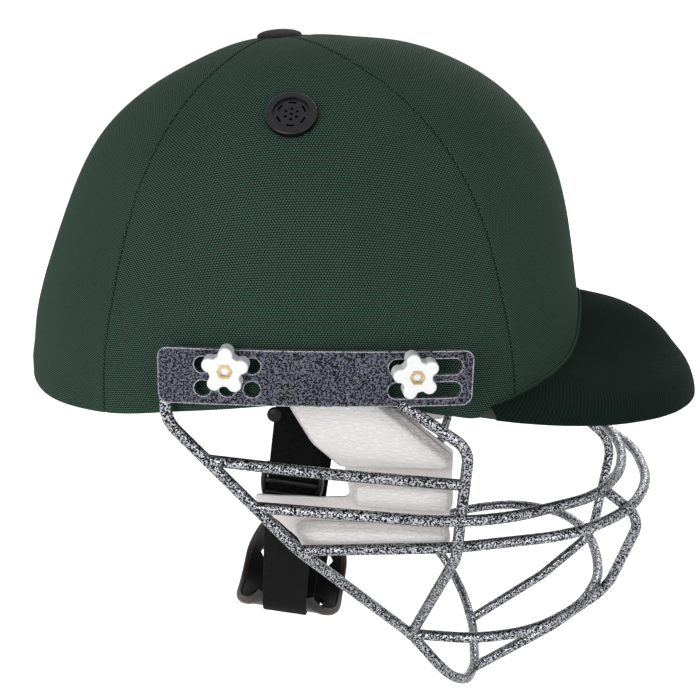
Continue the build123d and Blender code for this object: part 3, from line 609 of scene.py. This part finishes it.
# Seams, as in the CAD source: under the button, half way down and at the rim
BUTTON_PLACE = -14.5
FRONT_SEAM = ((BUTTON_PLACE, 0.0), (34.0, 51.5), (97.4, 72.0))
REAR_SEAM = ((BUTTON_PLACE, 0.0), (-46.0, 55.0), (-75.0, 92.0))
SEAM_ROWS, SEAM_START = 110, 5.0


def seam_line(points, side):
    """Unit directions along a seam at equal steps over the dome, from beside the button to the rim."""
    plan = plan_arc(*[(x, side * y) for x, y in points], 240)
    rays = np.array([dome_above(x, y) for x, y in plan])
    rays[-1, 2] = 0.0
    line = on_dome(unit(rays))
    run = run_along(line)
    steps = np.linspace(SEAM_START, run[-1], SEAM_ROWS)
    return unit(at_steps(steps, run, line))


SEAMS = {(end, side): seam_line(points, side)
         for end, points in (("front", FRONT_SEAM), ("rear", REAR_SEAM)) for side in (-1, 1)}

# Rows of cloth turned in under the rim: how far in and how far down
RIM_ROLL = ((0.1, 0.5), (0.35, 1.0), (1.1, 1.35), (2.4, 1.45), (4.4, 1.4), (5.0, 1.1), (5.1, 0.4))
SEAM_EDGES = np.array([0.0, 0.3, 0.6, 1.0, 1.6, 2.4, 3.4, 5.0])


SEAM_DIP, DIP_WIDTH, SEAM_SWELL, SWELL_FROM, SWELL_REACH = 0.55, 0.5, 0.28, 1.0, 7.0
SLUMPS = ((0.12, 34), (0.05, 11))


def seam_lift(distance):
    """How far the cloth stands out, by its distance to a seam."""
    swell = SEAM_SWELL * (1 - bell(distance, SWELL_FROM)) * bell(distance, SWELL_REACH)
    return swell - SEAM_DIP * bell(distance, DIP_WIDTH)


def slump(points):
    """A slight unevenness of stretched cloth, in millimetres."""
    return sum(depth * waves(points, size) for depth, size in SLUMPS)


VENT_TURN = math.radians(43.0)
VENT_CLEAR, VENT_NEAR = 8.6, 0.03
vent_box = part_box("vent_right")
vent_centre = (vent_box[0] + vent_box[1]) / 2


def vent_frame(side):
    """Centre of a vent in metres, and its axis."""
    return (np.array([vent_centre.x, side * abs(vent_centre.y), vent_centre.z]),
            np.array([0.0, side * math.cos(VENT_TURN), math.sin(VENT_TURN)]))


def panel(name, first, second, across):
    """A panel of cloth between two seams, with its edge turned in under the rim."""
    gap = np.arccos(np.clip((first * second).sum(1), -1, 1))
    middle = unit(first + second)
    width = gap * dome_radius(middle)
    length = run_along(on_dome(middle))
    even = np.linspace(0, 1, across)
    points, uv = [], []
    for i in range(SEAM_ROWS):
        near = np.minimum(SEAM_EDGES, even[: len(SEAM_EDGES)] * width[i]) / width[i]
        inner = np.linspace(near[-1], 1 - near[-1], across - 2 * len(near) + 2)[1:-1]
        share = np.concatenate([near, inner, 1 - near[::-1]])
        from_first, from_second = np.sin((1 - share) * gap[i])[:, None], np.sin(share * gap[i])[:, None]
        rays = unit((from_first * first[i] + from_second * second[i]) / math.sin(gap[i]))
        reach = dome_radius(rays)
        distance = np.minimum(share, 1 - share) * width[i]
        reach = reach + seam_lift(distance) + slump(rays * reach[:, None])
        points.append(rays * reach[:, None])
        uv.append(np.stack([(share - 0.5) * width[i], np.full(len(share), -length[i])], 1))
    points = [to_rim(row) if row[:, 2].min() < WARP_HEIGHT else row for row in points]
    rim, rim_uv = points[-1], uv[-1]
    outward = unit(rim * [1, 1, 0])
    for inward, down in RIM_ROLL:
        points.append(rim - outward * inward - np.array([0, 0, down]))
        uv.append(rim_uv - [0, down + inward])
    count = points[0].shape[0]
    cloth = made(name, np.concatenate(points), grid_faces(len(points), count), "cloth", np.concatenate(uv))
    facing = cloth.data.polygons[count * 30 + count // 2]
    if facing.normal.dot(facing.center) < 0:
        cloth.data.flip_normals()
    return cloth


def open_vent(cloth, side):
    """Cut the cloth away inside the vent's ring."""
    centre, axis = (Vector(v) for v in vent_frame(side))

    def cut(work):
        ways = [(vertex, vertex.co - centre) for vertex in work.verts]
        inside = [vertex for vertex, way in ways
                  if (way - axis * way.dot(axis)).length < VENT_CLEAR * MM and way.length < VENT_NEAR]
        bmesh.ops.delete(work, geom=inside, context="VERTS")

    edit_mesh(cloth, cut)


# The photograph shows no cut sizes. The blank's least width and the share of it that a panel takes
# up are assumed; a width is worked out for each panel from the first but not used further, and the share is
# not used.
BLANK_WIDTH, BLANK_SHARE, CLOTH_THICKNESS = 0.19, 0.7, 0.6
panels = {}
for where, first, second, across in (
        ("right", ("rear", -1), ("front", -1), 92), ("left", ("front", 1), ("rear", 1), 92),
        ("front", ("front", -1), ("front", 1), 76), ("rear", ("rear", 1), ("rear", -1), 92)):
    name = "cloth_" + where
    cloth = panel(name, SEAMS[first], SEAMS[second], across)
    if where in SIDES:
        open_vent(cloth, SIDES[where])
    width = max(cloth.dimensions.y, BLANK_WIDTH)
    solid = cloth.modifiers.new("Solidify", "SOLIDIFY")
    solid.thickness, solid.offset, solid.use_rim = CLOTH_THICKNESS * MM, -1.0, True
    panels[name] = apply_all(cloth)
    dress(panels[name], "root", "cloth", "cover_" + where)
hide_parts("rim_binding")

# Dark strips of painted shade where the arc slots of the vents open
SLOT_REACH, SLOT_SPAN, SLOT_WIDTH, SLOT_STEPS, SLOT_START = 5.6, math.radians(34.0), 0.42, 13, 12
for side_name, side in SIDES.items():
    vent_tree = tree_of("vent_" + side_name)
    centre, axis = vent_frame(side)
    centre = centre / MM
    flat_x = np.array([1.0, 0.0, 0.0])
    flat_y = np.cross(axis, flat_x)
    arcs = []
    for middle in np.arange(6) * math.pi / 3 + math.pi / 6:
        path = []
        for turn in middle + np.linspace(-0.5, 0.5, SLOT_STEPS) * SLOT_SPAN:
            foot = centre + SLOT_REACH * (flat_x * math.cos(turn) + flat_y * math.sin(turn))
            hit = vent_tree.ray_cast(Vector((foot + axis * SLOT_START) * MM), Vector(-axis))[0]
            path.append(np.array(hit) / MM if hit is not None else foot)
        path = np.array(path)
        level = np.median((path - centre) @ axis)
        path += axis * (level - (path - centre) @ axis)[:, None]
        axes = (unit(path - centre - axis * level), np.tile(axis, (SLOT_STEPS, 1)))
        taper = np.array([0.6] + [1.0] * (SLOT_STEPS - 2) + [0.6])
        arcs.append(tube(path, SLOT_WIDTH * taper, 8, flat=0.12, axes=axes))
    piece("vent_slot_shadows_" + side_name, several(arcs), "slot_shade", "root", "black_plastic")

# Stitches that cross the seams like a ladder
STITCH_PITCH, STITCH_LENGTH, STITCH_RADIUS, STITCH_RISE, STITCH_BOW = 2.1, 1.25, 0.2, 0.42, 1.1
STITCH_ACROSS, STITCH_ALONG, STITCH_SINK = 0.8, 0.6, 0.3
STITCH_TAPER = np.array([0.55, 0.95, 1.0, 0.95, 0.55])
stitches = []
for line in SEAMS.values():
    at = line * (dome_radius(line) - STITCH_SINK)[:, None]
    at = np.where(at[:, 2:] < WARP_HEIGHT, to_rim(at), at)
    run = run_along(at)
    steps = np.arange(SEAM_START, run[-1] - 1.0, STITCH_PITCH)
    centres = at_steps(steps, run, at)
    ahead = unit(np.gradient(centres, axis=0))
    outward = unit(centres)
    beside = np.cross(ahead, outward)
    for k, centre in enumerate(centres):
        lean = beside[k] * STITCH_ACROSS + ahead[k] * STITCH_ALONG
        bow = np.linspace(-0.5, 0.5, 5)[:, None]
        path = centre + lean * bow * STITCH_LENGTH + outward[k] * (STITCH_RISE - STITCH_BOW * bow**2)
        stitches.append(tube(path, STITCH_RADIUS * STITCH_TAPER, 6))
piece("seam_stitches", several(stitches), "thread", "root", "cloth")

# Peak: one cloth over its board, sampled in upright planes through a point inside the dome
PEAK_ORIGIN, PEAK_ROWS, PEAK_TURN = 40.0, 150, 64.2
PEAK_CENTRE, PEAK_REACH, PEAK_HALF = 80.0, 103.8, 89.0
UNDER_LEVEL = -25.0
FAN_START, FAN_SPAN, FAN_STEPS, FAN_REACH, FAN_ANGLES = 20, 130, 400, 0.25, (-30, 175, 0.4)
TOP_POINTS, UNDER_POINTS, POINT_SPREAD, LEAST_STRIP = 44, 26, 1.25, 1.5
top_tree = tree_of("peak_cover_top")
under_tree = tree_of("peak_cover_under")


def profile(tree, centre, turn, outside, count):
    """Points on a surface where a fan of rays meets it, from outside or from the fan's centre."""
    hits = []
    for angle in np.radians(np.arange(*FAN_ANGLES)):
        ray = Vector(direction(turn, angle))
        start = centre + ray * FAN_REACH if outside else centre
        hit = tree.ray_cast(start, -ray if outside else ray)[0]
        if hit is not None and (hit - centre).dot(ray) > 0:
            hits.append(hit)
    if len(hits) < 3:
        return None
    line = np.array(hits) / MM
    run = run_along(line)
    keep = np.concatenate([[True], np.diff(run) > 1e-6])
    steps = run[-1] * np.linspace(0, 1, count) ** POINT_SPREAD
    return at_steps(steps, run[keep], line[keep])


peak_top, peak_under = [], []
for turn in np.radians(np.linspace(-PEAK_TURN, PEAK_TURN, PEAK_ROWS)):
    heading = direction(turn, 0.0)
    plan = np.outer(np.linspace(FAN_START, FAN_START + FAN_SPAN, FAN_STEPS), heading) + [PEAK_ORIGIN, 0, 0]
    inside = np.linalg.norm(plan, axis=1) < dome_radius(unit(plan))
    start = FAN_START + FAN_SPAN * inside.sum() / FAN_STEPS
    outer = ((plan[:, 0] - PEAK_CENTRE) / PEAK_REACH) ** 2 + (plan[:, 1] / PEAK_HALF) ** 2 < 1
    end = FAN_START + FAN_SPAN * max(np.nonzero(outer)[0].max(initial=0), inside.sum()) / FAN_STEPS
    centre = Vector((heading * (start + end) / 2 + [PEAK_ORIGIN, 0, UNDER_LEVEL]) * MM)
    top = profile(top_tree, centre, turn, True, TOP_POINTS)
    under = profile(under_tree, centre, turn, False, UNDER_POINTS)
    if top is None or under is None or end - start < LEAST_STRIP:
        continue
    peak_top.append(top)
    peak_under.append(under)
peak_top, peak_under = np.array(peak_top), np.array(peak_under)
root = peak_top[:, -1].copy()
even_out(peak_top, 2)
even_out(peak_under, 2)
lip = []
for top, under in zip(peak_top, peak_under):
    outer, inner = top[0], under[0]
    mid = (outer + inner) / 2
    mid[2] = min(outer[2], inner[2])
    lip.append([inner + (0, 0, 0.2), mid - (0, 0, 0.7), outer * 0.75 + inner * 0.25 - (0, 0, 0.45)])
rings = np.concatenate([peak_under[:, ::-1], np.array(lip), peak_top], axis=1)
rows, columns = rings.shape[:2]
spans = np.array([run_along(ring) for ring in rings])
mid_run = run_along(rings[:, columns // 2])
peak_uv = np.stack([np.broadcast_to(mid_run[:, None], spans.shape), spans], 2).reshape(-1, 2)
piece("peak_cloth", (rings.reshape(-1, 3), loft_faces(rows, columns)), "peak_cloth", "root", "cloth",
      "peak_cover_top", "peak_cover_under", uv=peak_uv)

# Fold of the dome's cloth along the root of the peak
FOLD_RADIUS, FOLD_AROUND, FOLD_LIFT = 0.95, 12, 0.25
even_out(root, 4)
to_end = np.minimum(np.arange(len(root)), np.arange(len(root))[::-1])
fold = tube(root + unit(root) * FOLD_LIFT, FOLD_RADIUS * np.clip(to_end / 6, 0.35, 1), FOLD_AROUND)
around = np.tile(np.linspace(0, 6, FOLD_AROUND), len(root))
fold_uv = np.column_stack([np.repeat(run_along(root), FOLD_AROUND), around])
piece("peak_fold", fold, "cloth", "root", "cloth", uv=fold_uv)

# Crown button covered in cloth, which leans a little to the right
BUTTON_LEAN, BUTTON_SHIFT = math.radians(9.0), 3.5
BUTTON_AROUND, SLOPE_STEP = 72, 0.03
button_ray = dome_above(BUTTON_PLACE, 0)
near = [unit(button_ray + offset) for offset in ((SLOPE_STEP, 0, 0), (0, SLOPE_STEP, 0))]
base = on_dome(button_ray)
button_up = unit(np.cross(*(on_dome(ray) - base for ray in near)))
button_up = unit(button_up + np.array([0, -math.tan(BUTTON_LEAN), 0]))
base = base + np.array([0, -BUTTON_SHIFT, 0.0])
button_side = unit(np.cross(button_up, [0, 1, 0]))
button_over = np.cross(button_up, button_side)
BUTTON_SHAPE = ((8.6, -1.3), (9.5, -0.9), (10.0, -0.1), (9.9, 0.6), (9.3, 1.15), (8.3, 1.6),
                (6.8, 1.95), (5.0, 2.2), (3.2, 2.35), (1.5, 2.4))
turns = full_turn(BUTTON_AROUND)
rings = []
for radius, height in BUTTON_SHAPE:
    gathers = 0.06 * np.cos(18 * turns) * (radius > 7)
    for turn, gather in zip(turns, gathers):
        side = button_side * math.cos(turn) + button_over * math.sin(turn)
        rings.append(base + side * (radius + gather) + button_up * height)
piece("button", (rings, loft_faces(len(BUTTON_SHAPE), BUTTON_AROUND)), "button_cloth", "root",
      "button_cloth", "crown_button")


# Soft pieces: a smaller copy of the solid, blown up as cloth
BLOW_PRESSURE, BLOW_STEPS = 4.0, 20


def soft_copy(name, node, voxel, shrink, material, rounds=2):
    """A remeshed copy of a CAD solid, drawn in a little."""
    thing = linked(name, nodes[node].data.copy())
    edit_mesh(thing, lambda work: bmesh.ops.remove_doubles(work, verts=work.verts, dist=1e-6))
    remesh = thing.modifiers.new("Remesh", "REMESH")
    remesh.mode, remesh.voxel_size, remesh.adaptivity = "VOXEL", voxel * MM, 0.0
    smooth = thing.modifiers.new("Smooth", "SMOOTH")
    smooth.factor, smooth.iterations = 0.5, rounds
    apply_all(thing)
    place(thing, coordinates(thing) - vertex_values(thing.data, "normal") * shrink)
    thing.data.materials.clear()
    thing.data.materials.append(MATERIAL[material])
    return thing


def coordinates(thing):
    """Points of a mesh in millimetres."""
    return vertex_values(thing.data, "co") / MM


def place(thing, points):
    thing.data.vertices.foreach_set("co", (np.asarray(points) * MM).ravel())
    thing.data.update()


def blow_up(thing, cap, held):
    """Run the cloth with pressure, keep each point within a cap and the held points where they are."""
    rest = coordinates(thing)
    group = thing.vertex_groups.new(name="held")
    group.add(np.nonzero(held)[0].tolist(), 1.0, "REPLACE")
    cloth = thing.modifiers.new("Cloth", "CLOTH")
    settings = cloth.settings
    settings.quality, settings.mass, settings.air_damping = 5, 0.15, 2.0
    settings.tension_stiffness, settings.compression_stiffness, settings.bending_stiffness = 18, 18, 0.6
    settings.use_pressure, settings.uniform_pressure_force = True, BLOW_PRESSURE
    settings.effector_weights.gravity = 0.0
    settings.vertex_group_mass = "held"
    settings.pin_stiffness = 1.0
    cloth.collision_settings.use_collision = False
    for step in range(1, BLOW_STEPS + 1):
        scene.frame_set(step)
    graph = bpy.context.evaluated_depsgraph_get()
    blown = thing.evaluated_get(graph).to_mesh()
    found = vertex_values(blown, "co")
    thing.evaluated_get(graph).to_mesh_clear()
    thing.modifiers.clear()
    thing.vertex_groups.clear()
    moved = found / MM - rest
    length = np.linalg.norm(moved, axis=1, keepdims=True)
    place(thing, rest + moved * np.minimum(1, cap / np.maximum(length, 1e-9)))
    scene.frame_set(1)


def finer(thing):
    """One subdivision, applied."""
    thing.modifiers.new("Subdivision", "SUBSURF").levels = 1
    apply_all(thing)
    thing.data.shade_smooth()


def outline_distance(points, outline):
    """Distance in the upright plane from each point to the nearest side of an outline."""
    found = np.full(len(points), 1e9)
    flat = points[:, [0, 2]]
    for start, end in zip(outline, np.roll(outline, -1, 0)):
        along = end - start
        share = np.clip(((flat - start) @ along) / (along @ along), 0, 1)
        found = np.minimum(found, np.linalg.norm(flat - start - share[:, None] * along, axis=1))
    return found


# Cheek pads, with outlines as in the CAD source: shares of the length and the height
PAD_FRONT, PAD_LENGTH, PAD_FACE = 71.5, 71.0, -87.9
PADS = {
    "upper": (8.5, 36.6, ((-0.042, 0.0), (0.005, 0.299), (0.140, 0.721), (0.315, 1.0),
                          (0.985, 0.970), (0.985, 0.789), (0.475, 0.0))),
    "middle": (-31.8, 15.0, ((0.385, 0.00), (0.385, 0.94), (1.000, 1.00), (1.000, 0.04))),
    "lower": (-52.4, 15.6, ((0.005, 0.12), (0.105, 1.00), (0.950, 0.80), (0.995, 0.60), (1.000, 0.00))),
}
PAD_BORDER, PAD_GROOVE, GROOVE_WIDTH, PAD_PILLOW, PAD_EDGE, PAD_RIPPLE = 4.4, 0.4, 0.9, 2.2, 5.0, 0.12
PAD_CAP, PAD_HELD, FACE_FROM, FACE_SPAN = 1.3, 1.5, 6.0, 3.0
for level, (top, height, shares) in PADS.items():
    outline = np.array(shares) * [PAD_LENGTH, -height] + [PAD_FRONT - PAD_LENGTH, top]
    pad = soft_copy(f"cheek_cushion_{level}_right", f"cheek_pad_{level}_right", 1.3, 0.2, "pad_leather", 6)
    at = coordinates(pad)
    blow_up(pad, PAD_CAP, at[:, 1] > at[:, 1].max() - PAD_HELD)
    finer(pad)
    at = coordinates(pad)
    distance = outline_distance(at, outline)
    depth = np.clip((PAD_FACE + FACE_FROM - at[:, 1]) / FACE_SPAN, 0, 1)
    groove = PAD_GROOVE * bell(distance - PAD_BORDER, GROOVE_WIDTH)
    groove = groove + PAD_PILLOW * np.clip(1 - distance / PAD_EDGE, 0, 1) ** 2
    at[:, 1] += depth * (groove - PAD_RIPPLE * waves(at, (5, 5, 3.2)))
    place(pad, at)
    for thing in both_sides(pad, "pad_leather", f"cheek_pad_{level}"):
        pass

# Backing boards of foam, whose rear tongue curls outwards at its upper edge
TONGUE_END, TONGUE_TOP, TONGUE_LOW, TONGUE_SPAN, TONGUE_CURL = 26.0, -43.5, -48.5, 12, 2.2
backing = soft_copy("cheek_backing_foam_right", "cheek_pad_backing_right", 0.9, 0.1, "backing")
at = coordinates(backing)
rise = np.clip((at[:, 2] - TONGUE_LOW) / (TONGUE_TOP - TONGUE_LOW), 0, 1.2)
curl = np.clip((TONGUE_END - at[:, 0]) / TONGUE_SPAN, 0, 1) * rise
wave = waves(at * [1, 0, 1], 16)
at[:, 1] += -TONGUE_CURL * curl**2 + 0.15 * wave
at[:, 2] += 0.5 * curl * wave
place(backing, at)
backing.data.shade_smooth()
both_sides(backing, "backing", "cheek_pad_backing")

# Pads that touch the head
HELD_DEPTH = 19.8
for name, node, cap in (("brow_cushion", "brow_pad", 1.6), ("rear_cushion", "rear_pad", 1.6),
                        ("side_cushion_right", "comfort_pad_right", 1.6),
                        ("crown_cushion", "crown_pad", 1.2)):
    cushion = soft_copy(name, node, 2.6, 0.8, "comfort_cloth")
    at = coordinates(cushion)
    outward = np.linalg.norm(at, axis=1)
    reach = dome_radius(unit(np.maximum(at, [-1e9, -1e9, 0.001])))
    held = reach - outward < HELD_DEPTH
    blow_up(cushion, cap, held)
    finer(cushion)
    if name.endswith("_right"):
        cushions = both_sides(cushion, "comfort_cloth", "comfort_pad")
    else:
        cushions = [dress(cushion, "root", "comfort_cloth", node)]
    for cushion in cushions:
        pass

# Chin strap in its own plane: across to the wearer's left, up along the strap, and ahead
STRAP_LEAN = math.radians(5.5)
STRAP_ORIGIN = np.array([7.1, 0.0, 19.95])
LEFTWARD = np.array([0.0, 1.0, 0.0])
STRAP_UP = np.array([math.sin(STRAP_LEAN), 0, math.cos(STRAP_LEAN)])
STRAP_AHEAD = np.array([math.cos(STRAP_LEAN), 0, -math.sin(STRAP_LEAN)])
STRAP_HALF, STRAP_TOP, STRAP_BEND, STRAP_TURN = 71.2, 8.5, 20.0, 60.0
CUP_DROP, CUP_RADIUS, CUP_THICKNESS = 123.8, 36.0, 2.6
WEBBING_WIDTH, WEBBING_THICKNESS, STRAP_OUTSIDE = 21.5, 1.5, 1.1


def in_strap(across, level, ahead=0.0):
    return STRAP_ORIGIN + LEFTWARD * across + STRAP_UP * level + STRAP_AHEAD * ahead


def round_cup(radius, turn):
    """A place round the cup's axis, as (across, level)."""
    return np.array([radius * math.sin(turn), -CUP_DROP - radius * math.cos(turn)])


def strap_side():
    """Half of the strap's line, from its top end to its lowest point, as (across, level)."""
    radius = CUP_RADIUS + STRAP_OUTSIDE
    turn = math.radians(STRAP_TURN)
    foot = round_cup(radius, turn)
    bend = np.array([STRAP_HALF, foot[1] + (STRAP_HALF - foot[0]) * math.tan(turn)])
    cut = STRAP_BEND * math.tan(math.radians(90 - STRAP_TURN) / 2)
    line = [np.array([STRAP_HALF, level]) for level in np.linspace(STRAP_TOP, bend[1] + cut, 46)]
    for angle in np.linspace(0, math.radians(90 - STRAP_TURN), 8)[1:]:
        line.append(np.array([STRAP_HALF - STRAP_BEND * (1 - math.cos(angle)),
                              bend[1] + cut - STRAP_BEND * math.sin(angle)]))
    start = line[-1]
    line += [start + (foot - start) * share for share in np.linspace(0, 1, 30)[1:]]
    line += [round_cup(radius, angle) for angle in np.linspace(turn, 0, 26)[1:]]
    return np.array(line)


half = strap_side()
line = np.concatenate([half, (half * [-1, 1])[-2::-1]])
ahead = unit(np.gradient(line, axis=0))
normal = np.stack([ahead[:, 1], -ahead[:, 0]], 1)
run = run_along(line)
ACROSS = ((-1.0, 0.55), (-0.985, 0.85), (-0.93, 1.0), (-0.6, 0.93), (-0.2, 0.97), (0.2, 0.97),
          (0.6, 0.93), (0.93, 1.0), (0.985, 0.85), (1.0, 0.55))
END_ROUND = 7.0
rings, ring_uv = [], []
for k, (point, out) in enumerate(zip(line, normal)):
    to_end = min(run[k], run[-1] - run[k])
    short = max(0, END_ROUND - to_end)
    inset = END_ROUND - math.sqrt(END_ROUND**2 - short**2)
    width = WEBBING_WIDTH / 2 - inset
    for face in (1, -1):
        for share, thick in ACROSS[::face]:
            offset = point + out * face * thick * WEBBING_THICKNESS / 2
            rings.append(in_strap(*offset, share * width))
            ring_uv.append((share * width, run[k]))
piece("webbing", (rings, loft_faces(len(line), 2 * len(ACROSS))), "webbing", "strap", "webbing",
      "chin_strap", uv=ring_uv)

# Round tab of the strap's tail, behind the webbing on the right side
TAB_LEVEL, TAB_RADIUS, TAB_AROUND, TAB_BEVEL = -30.8, 3.3, 40, 0.4
turns = full_turn(TAB_AROUND)
rings = []
for radius, depth in ((TAB_RADIUS - TAB_BEVEL, -0.9), (TAB_RADIUS, -0.5), (TAB_RADIUS, 0.5),
                      (TAB_RADIUS - TAB_BEVEL, 0.9)):
    rings += [in_strap(-STRAP_HALF + depth, TAB_LEVEL + radius * math.sin(turn),
                       -WEBBING_WIDTH / 2 + radius * math.cos(turn)) for turn in turns]
piece("strap_tab", (rings, loft_faces(4, TAB_AROUND)), "cup_plastic", "strap", "black_plastic")

# Adjuster: two bulged rails joined by bars that the webbing passes round
ADJUSTER_DROP, ADJUSTER_HALF, RAIL_PLACE, RAIL_BULGE, RAIL_STEPS = 60.62, 7.5, 12.15, 1.25, 15
BAR_HALF, BAR_STEPS = 12.0, 9
shapes = []
for side in (-1, 1):
    levels = np.linspace(-ADJUSTER_HALF, ADJUSTER_HALF, RAIL_STEPS)
    bulge = RAIL_PLACE + RAIL_BULGE * np.cos(levels / ADJUSTER_HALF * 1.25) ** 2
    path = [in_strap(-STRAP_HALF, -ADJUSTER_DROP + level, side * (wide - 1.0))
            for level, wide in zip(levels, bulge)]
    axes = (np.tile(STRAP_AHEAD, (RAIL_STEPS, 1)), np.tile(LEFTWARD, (RAIL_STEPS, 1)))
    size = np.array([1.0] + [1.45] * (RAIL_STEPS - 2) + [1.0])
    shapes.append(tube(path, size, 14, flat=1.8, axes=axes))
for level in (-5.8, 0.0, 5.8):
    for depth in ((-1.75,) if level == 0 else (-1.75, 1.75)):
        path = [in_strap(-STRAP_HALF + depth, -ADJUSTER_DROP + level, across)
                for across in np.linspace(-BAR_HALF, BAR_HALF, BAR_STEPS)]
        axes = (np.tile(LEFTWARD, (BAR_STEPS, 1)), np.tile(STRAP_UP, (BAR_STEPS, 1)))
        shapes.append(tube(path, 0.75, 10, flat=1.7, axes=axes))
piece("adjuster_frame", several(shapes), "cup_plastic", "adjuster", "black_plastic", "strap_adjuster")

# Bead round the edge of the chin cup
CUP_HALF, CUP_CORNER, CUP_TURN, CUP_TILT = 25.5, 23.0, 82.0, 20.0
BEAD_RADIUS, RIB_PLACE, RIB_TURN, RIB_RADIUS = 1.85, 12.3, 66, 0.45


def cup_half(turn):
    """Half the cup's width at a turn from its lowest line."""
    over = max(0, abs(CUP_RADIUS * math.sin(turn)) - (CUP_RADIUS - CUP_CORNER))
    return CUP_HALF - CUP_CORNER + math.sqrt(max(0, CUP_CORNER**2 - over**2))


def cup_point(turn, ahead, inset=CUP_THICKNESS / 2):
    return in_strap(*round_cup(CUP_RADIUS - inset, turn + math.radians(CUP_TILT)), ahead)


limit = math.radians(CUP_TURN)
edge = []
for side in (1, -1):
    edge += [cup_point(turn, side * cup_half(turn)) for turn in side * np.linspace(-limit, limit, 90)]
    ends = side * np.linspace(cup_half(limit), -cup_half(limit), 16)[1:-1]
    edge += [cup_point(side * limit, ahead) for ahead in ends]
edge = np.array(edge)
for _ in range(3):
    edge = 0.5 * edge + 0.25 * (np.roll(edge, 1, 0) + np.roll(edge, -1, 0))
piece("cup_bead", tube(edge, BEAD_RADIUS, 12, closed=True), "cup_bead", "cup", "cup_plastic")
ribs = []
for ahead in (-RIB_PLACE, RIB_PLACE):
    turns = np.radians(np.linspace(-RIB_TURN, RIB_TURN, 60))
    ribs.append(tube([cup_point(turn, ahead, CUP_THICKNESS) for turn in turns], RIB_RADIUS, 8))
piece("cup_ribs", several(ribs), "cup_plastic", "cup", "cup_plastic")

# Floor, lights and camera
FLOOR_REACH, FLOOR_DROP, FLOOR_GLOW, WORLD_LEVEL, LAMP_SIZE = 400.0, 0.0005, 0.78, 0.25, 0.9
floor_mesh = bpy.data.meshes.new("floor")
corners = [(x * FLOOR_REACH, y * FLOOR_REACH, 0) for x, y in ((-1, -1), (1, -1), (1, 1), (-1, 1))]
floor_mesh.from_pydata(corners, [], [(0, 1, 2, 3)])
floor = linked("floor", floor_mesh)
floor.location.z = cad_box[0].z - FLOOR_DROP
shader = Shader("pale_floor")
path = shader.node("LightPath")
shown = shader.math("MAXIMUM", path.outputs["Is Camera Ray"], path.outputs["Is Glossy Ray"])
clouds = shader.span(shader.noise(2.0), 0.0, 1.0, 0.0, 0.02)
shader.finish(Base_Color=shader.mix(clouds, (0.93, 0.93, 0.93), (0.9, 0.9, 0.9)),
              Roughness=0.9, Specular_IOR_Level=0.0, Emission_Color=(1.0, 1.0, 1.0),
              Emission_Strength=shader.math("MULTIPLY", shown, FLOOR_GLOW))
floor_mesh.materials.append(shader.material)

world = bpy.data.worlds.new("studio")
scene.world = world
sky = Shader("studio", world)
path = sky.node("LightPath").outputs
seen = sky.math("MAXIMUM", path["Is Camera Ray"], path["Is Transmission Ray"])
seen = sky.math("MAXIMUM", seen, path["Is Glossy Ray"])
sky.finish(Strength=sky.span(seen, 0.0, 1.0, WORLD_LEVEL, 1.0), Color=(1.0, 1.0, 1.0))


def softbox(name, at, power):
    """A square lamp that faces the origin."""
    light = bpy.data.lights.new(name, "AREA")
    light.shape, light.size, light.energy = "SQUARE", LAMP_SIZE, power
    lamp = linked(name, light)
    lamp.location = at
    lamp.rotation_euler = (-Vector(at)).to_track_quat("-Z", "Y").to_euler()


softbox("key", (-0.55, -1.25, 0.38), 12.0)
softbox("fill", (0.95, -1.0, 0.30), 4.5)
softbox("back", (0.5, 1.15, 0.7), 7.0)

CAMERA_PLACE = Vector((0.0557, -0.5328, 0.1671))
CAMERA_TURN, CAMERA_RISE, CAMERA_ROLL = (math.radians(v) for v in (3.8, 17.54, 1.49))
FOCAL_PIXELS, IMAGE_PIXELS = 1158.0, 700.0
level = math.cos(CAMERA_RISE)
back = Vector((math.sin(CAMERA_TURN) * level, -math.cos(CAMERA_TURN) * level, math.sin(CAMERA_RISE)))
flat = Vector((math.cos(CAMERA_TURN), math.sin(CAMERA_TURN), 0))
rise = back.cross(flat)
right = flat * math.cos(CAMERA_ROLL) + rise * math.sin(CAMERA_ROLL)
upward = rise * math.cos(CAMERA_ROLL) - flat * math.sin(CAMERA_ROLL)
lens = bpy.data.cameras.new("camera")
lens.sensor_width = 36.0
lens.lens = lens.sensor_width * FOCAL_PIXELS / IMAGE_PIXELS
lens.clip_start, lens.clip_end = 0.05, 1000.0
camera = linked("camera", lens)
camera.matrix_world = Matrix(((*right, 0), (*upward, 0), (*back, 0), (*CAMERA_PLACE, 1))).transposed()
scene.camera = camera
scene.view_settings.view_transform = "Standard"
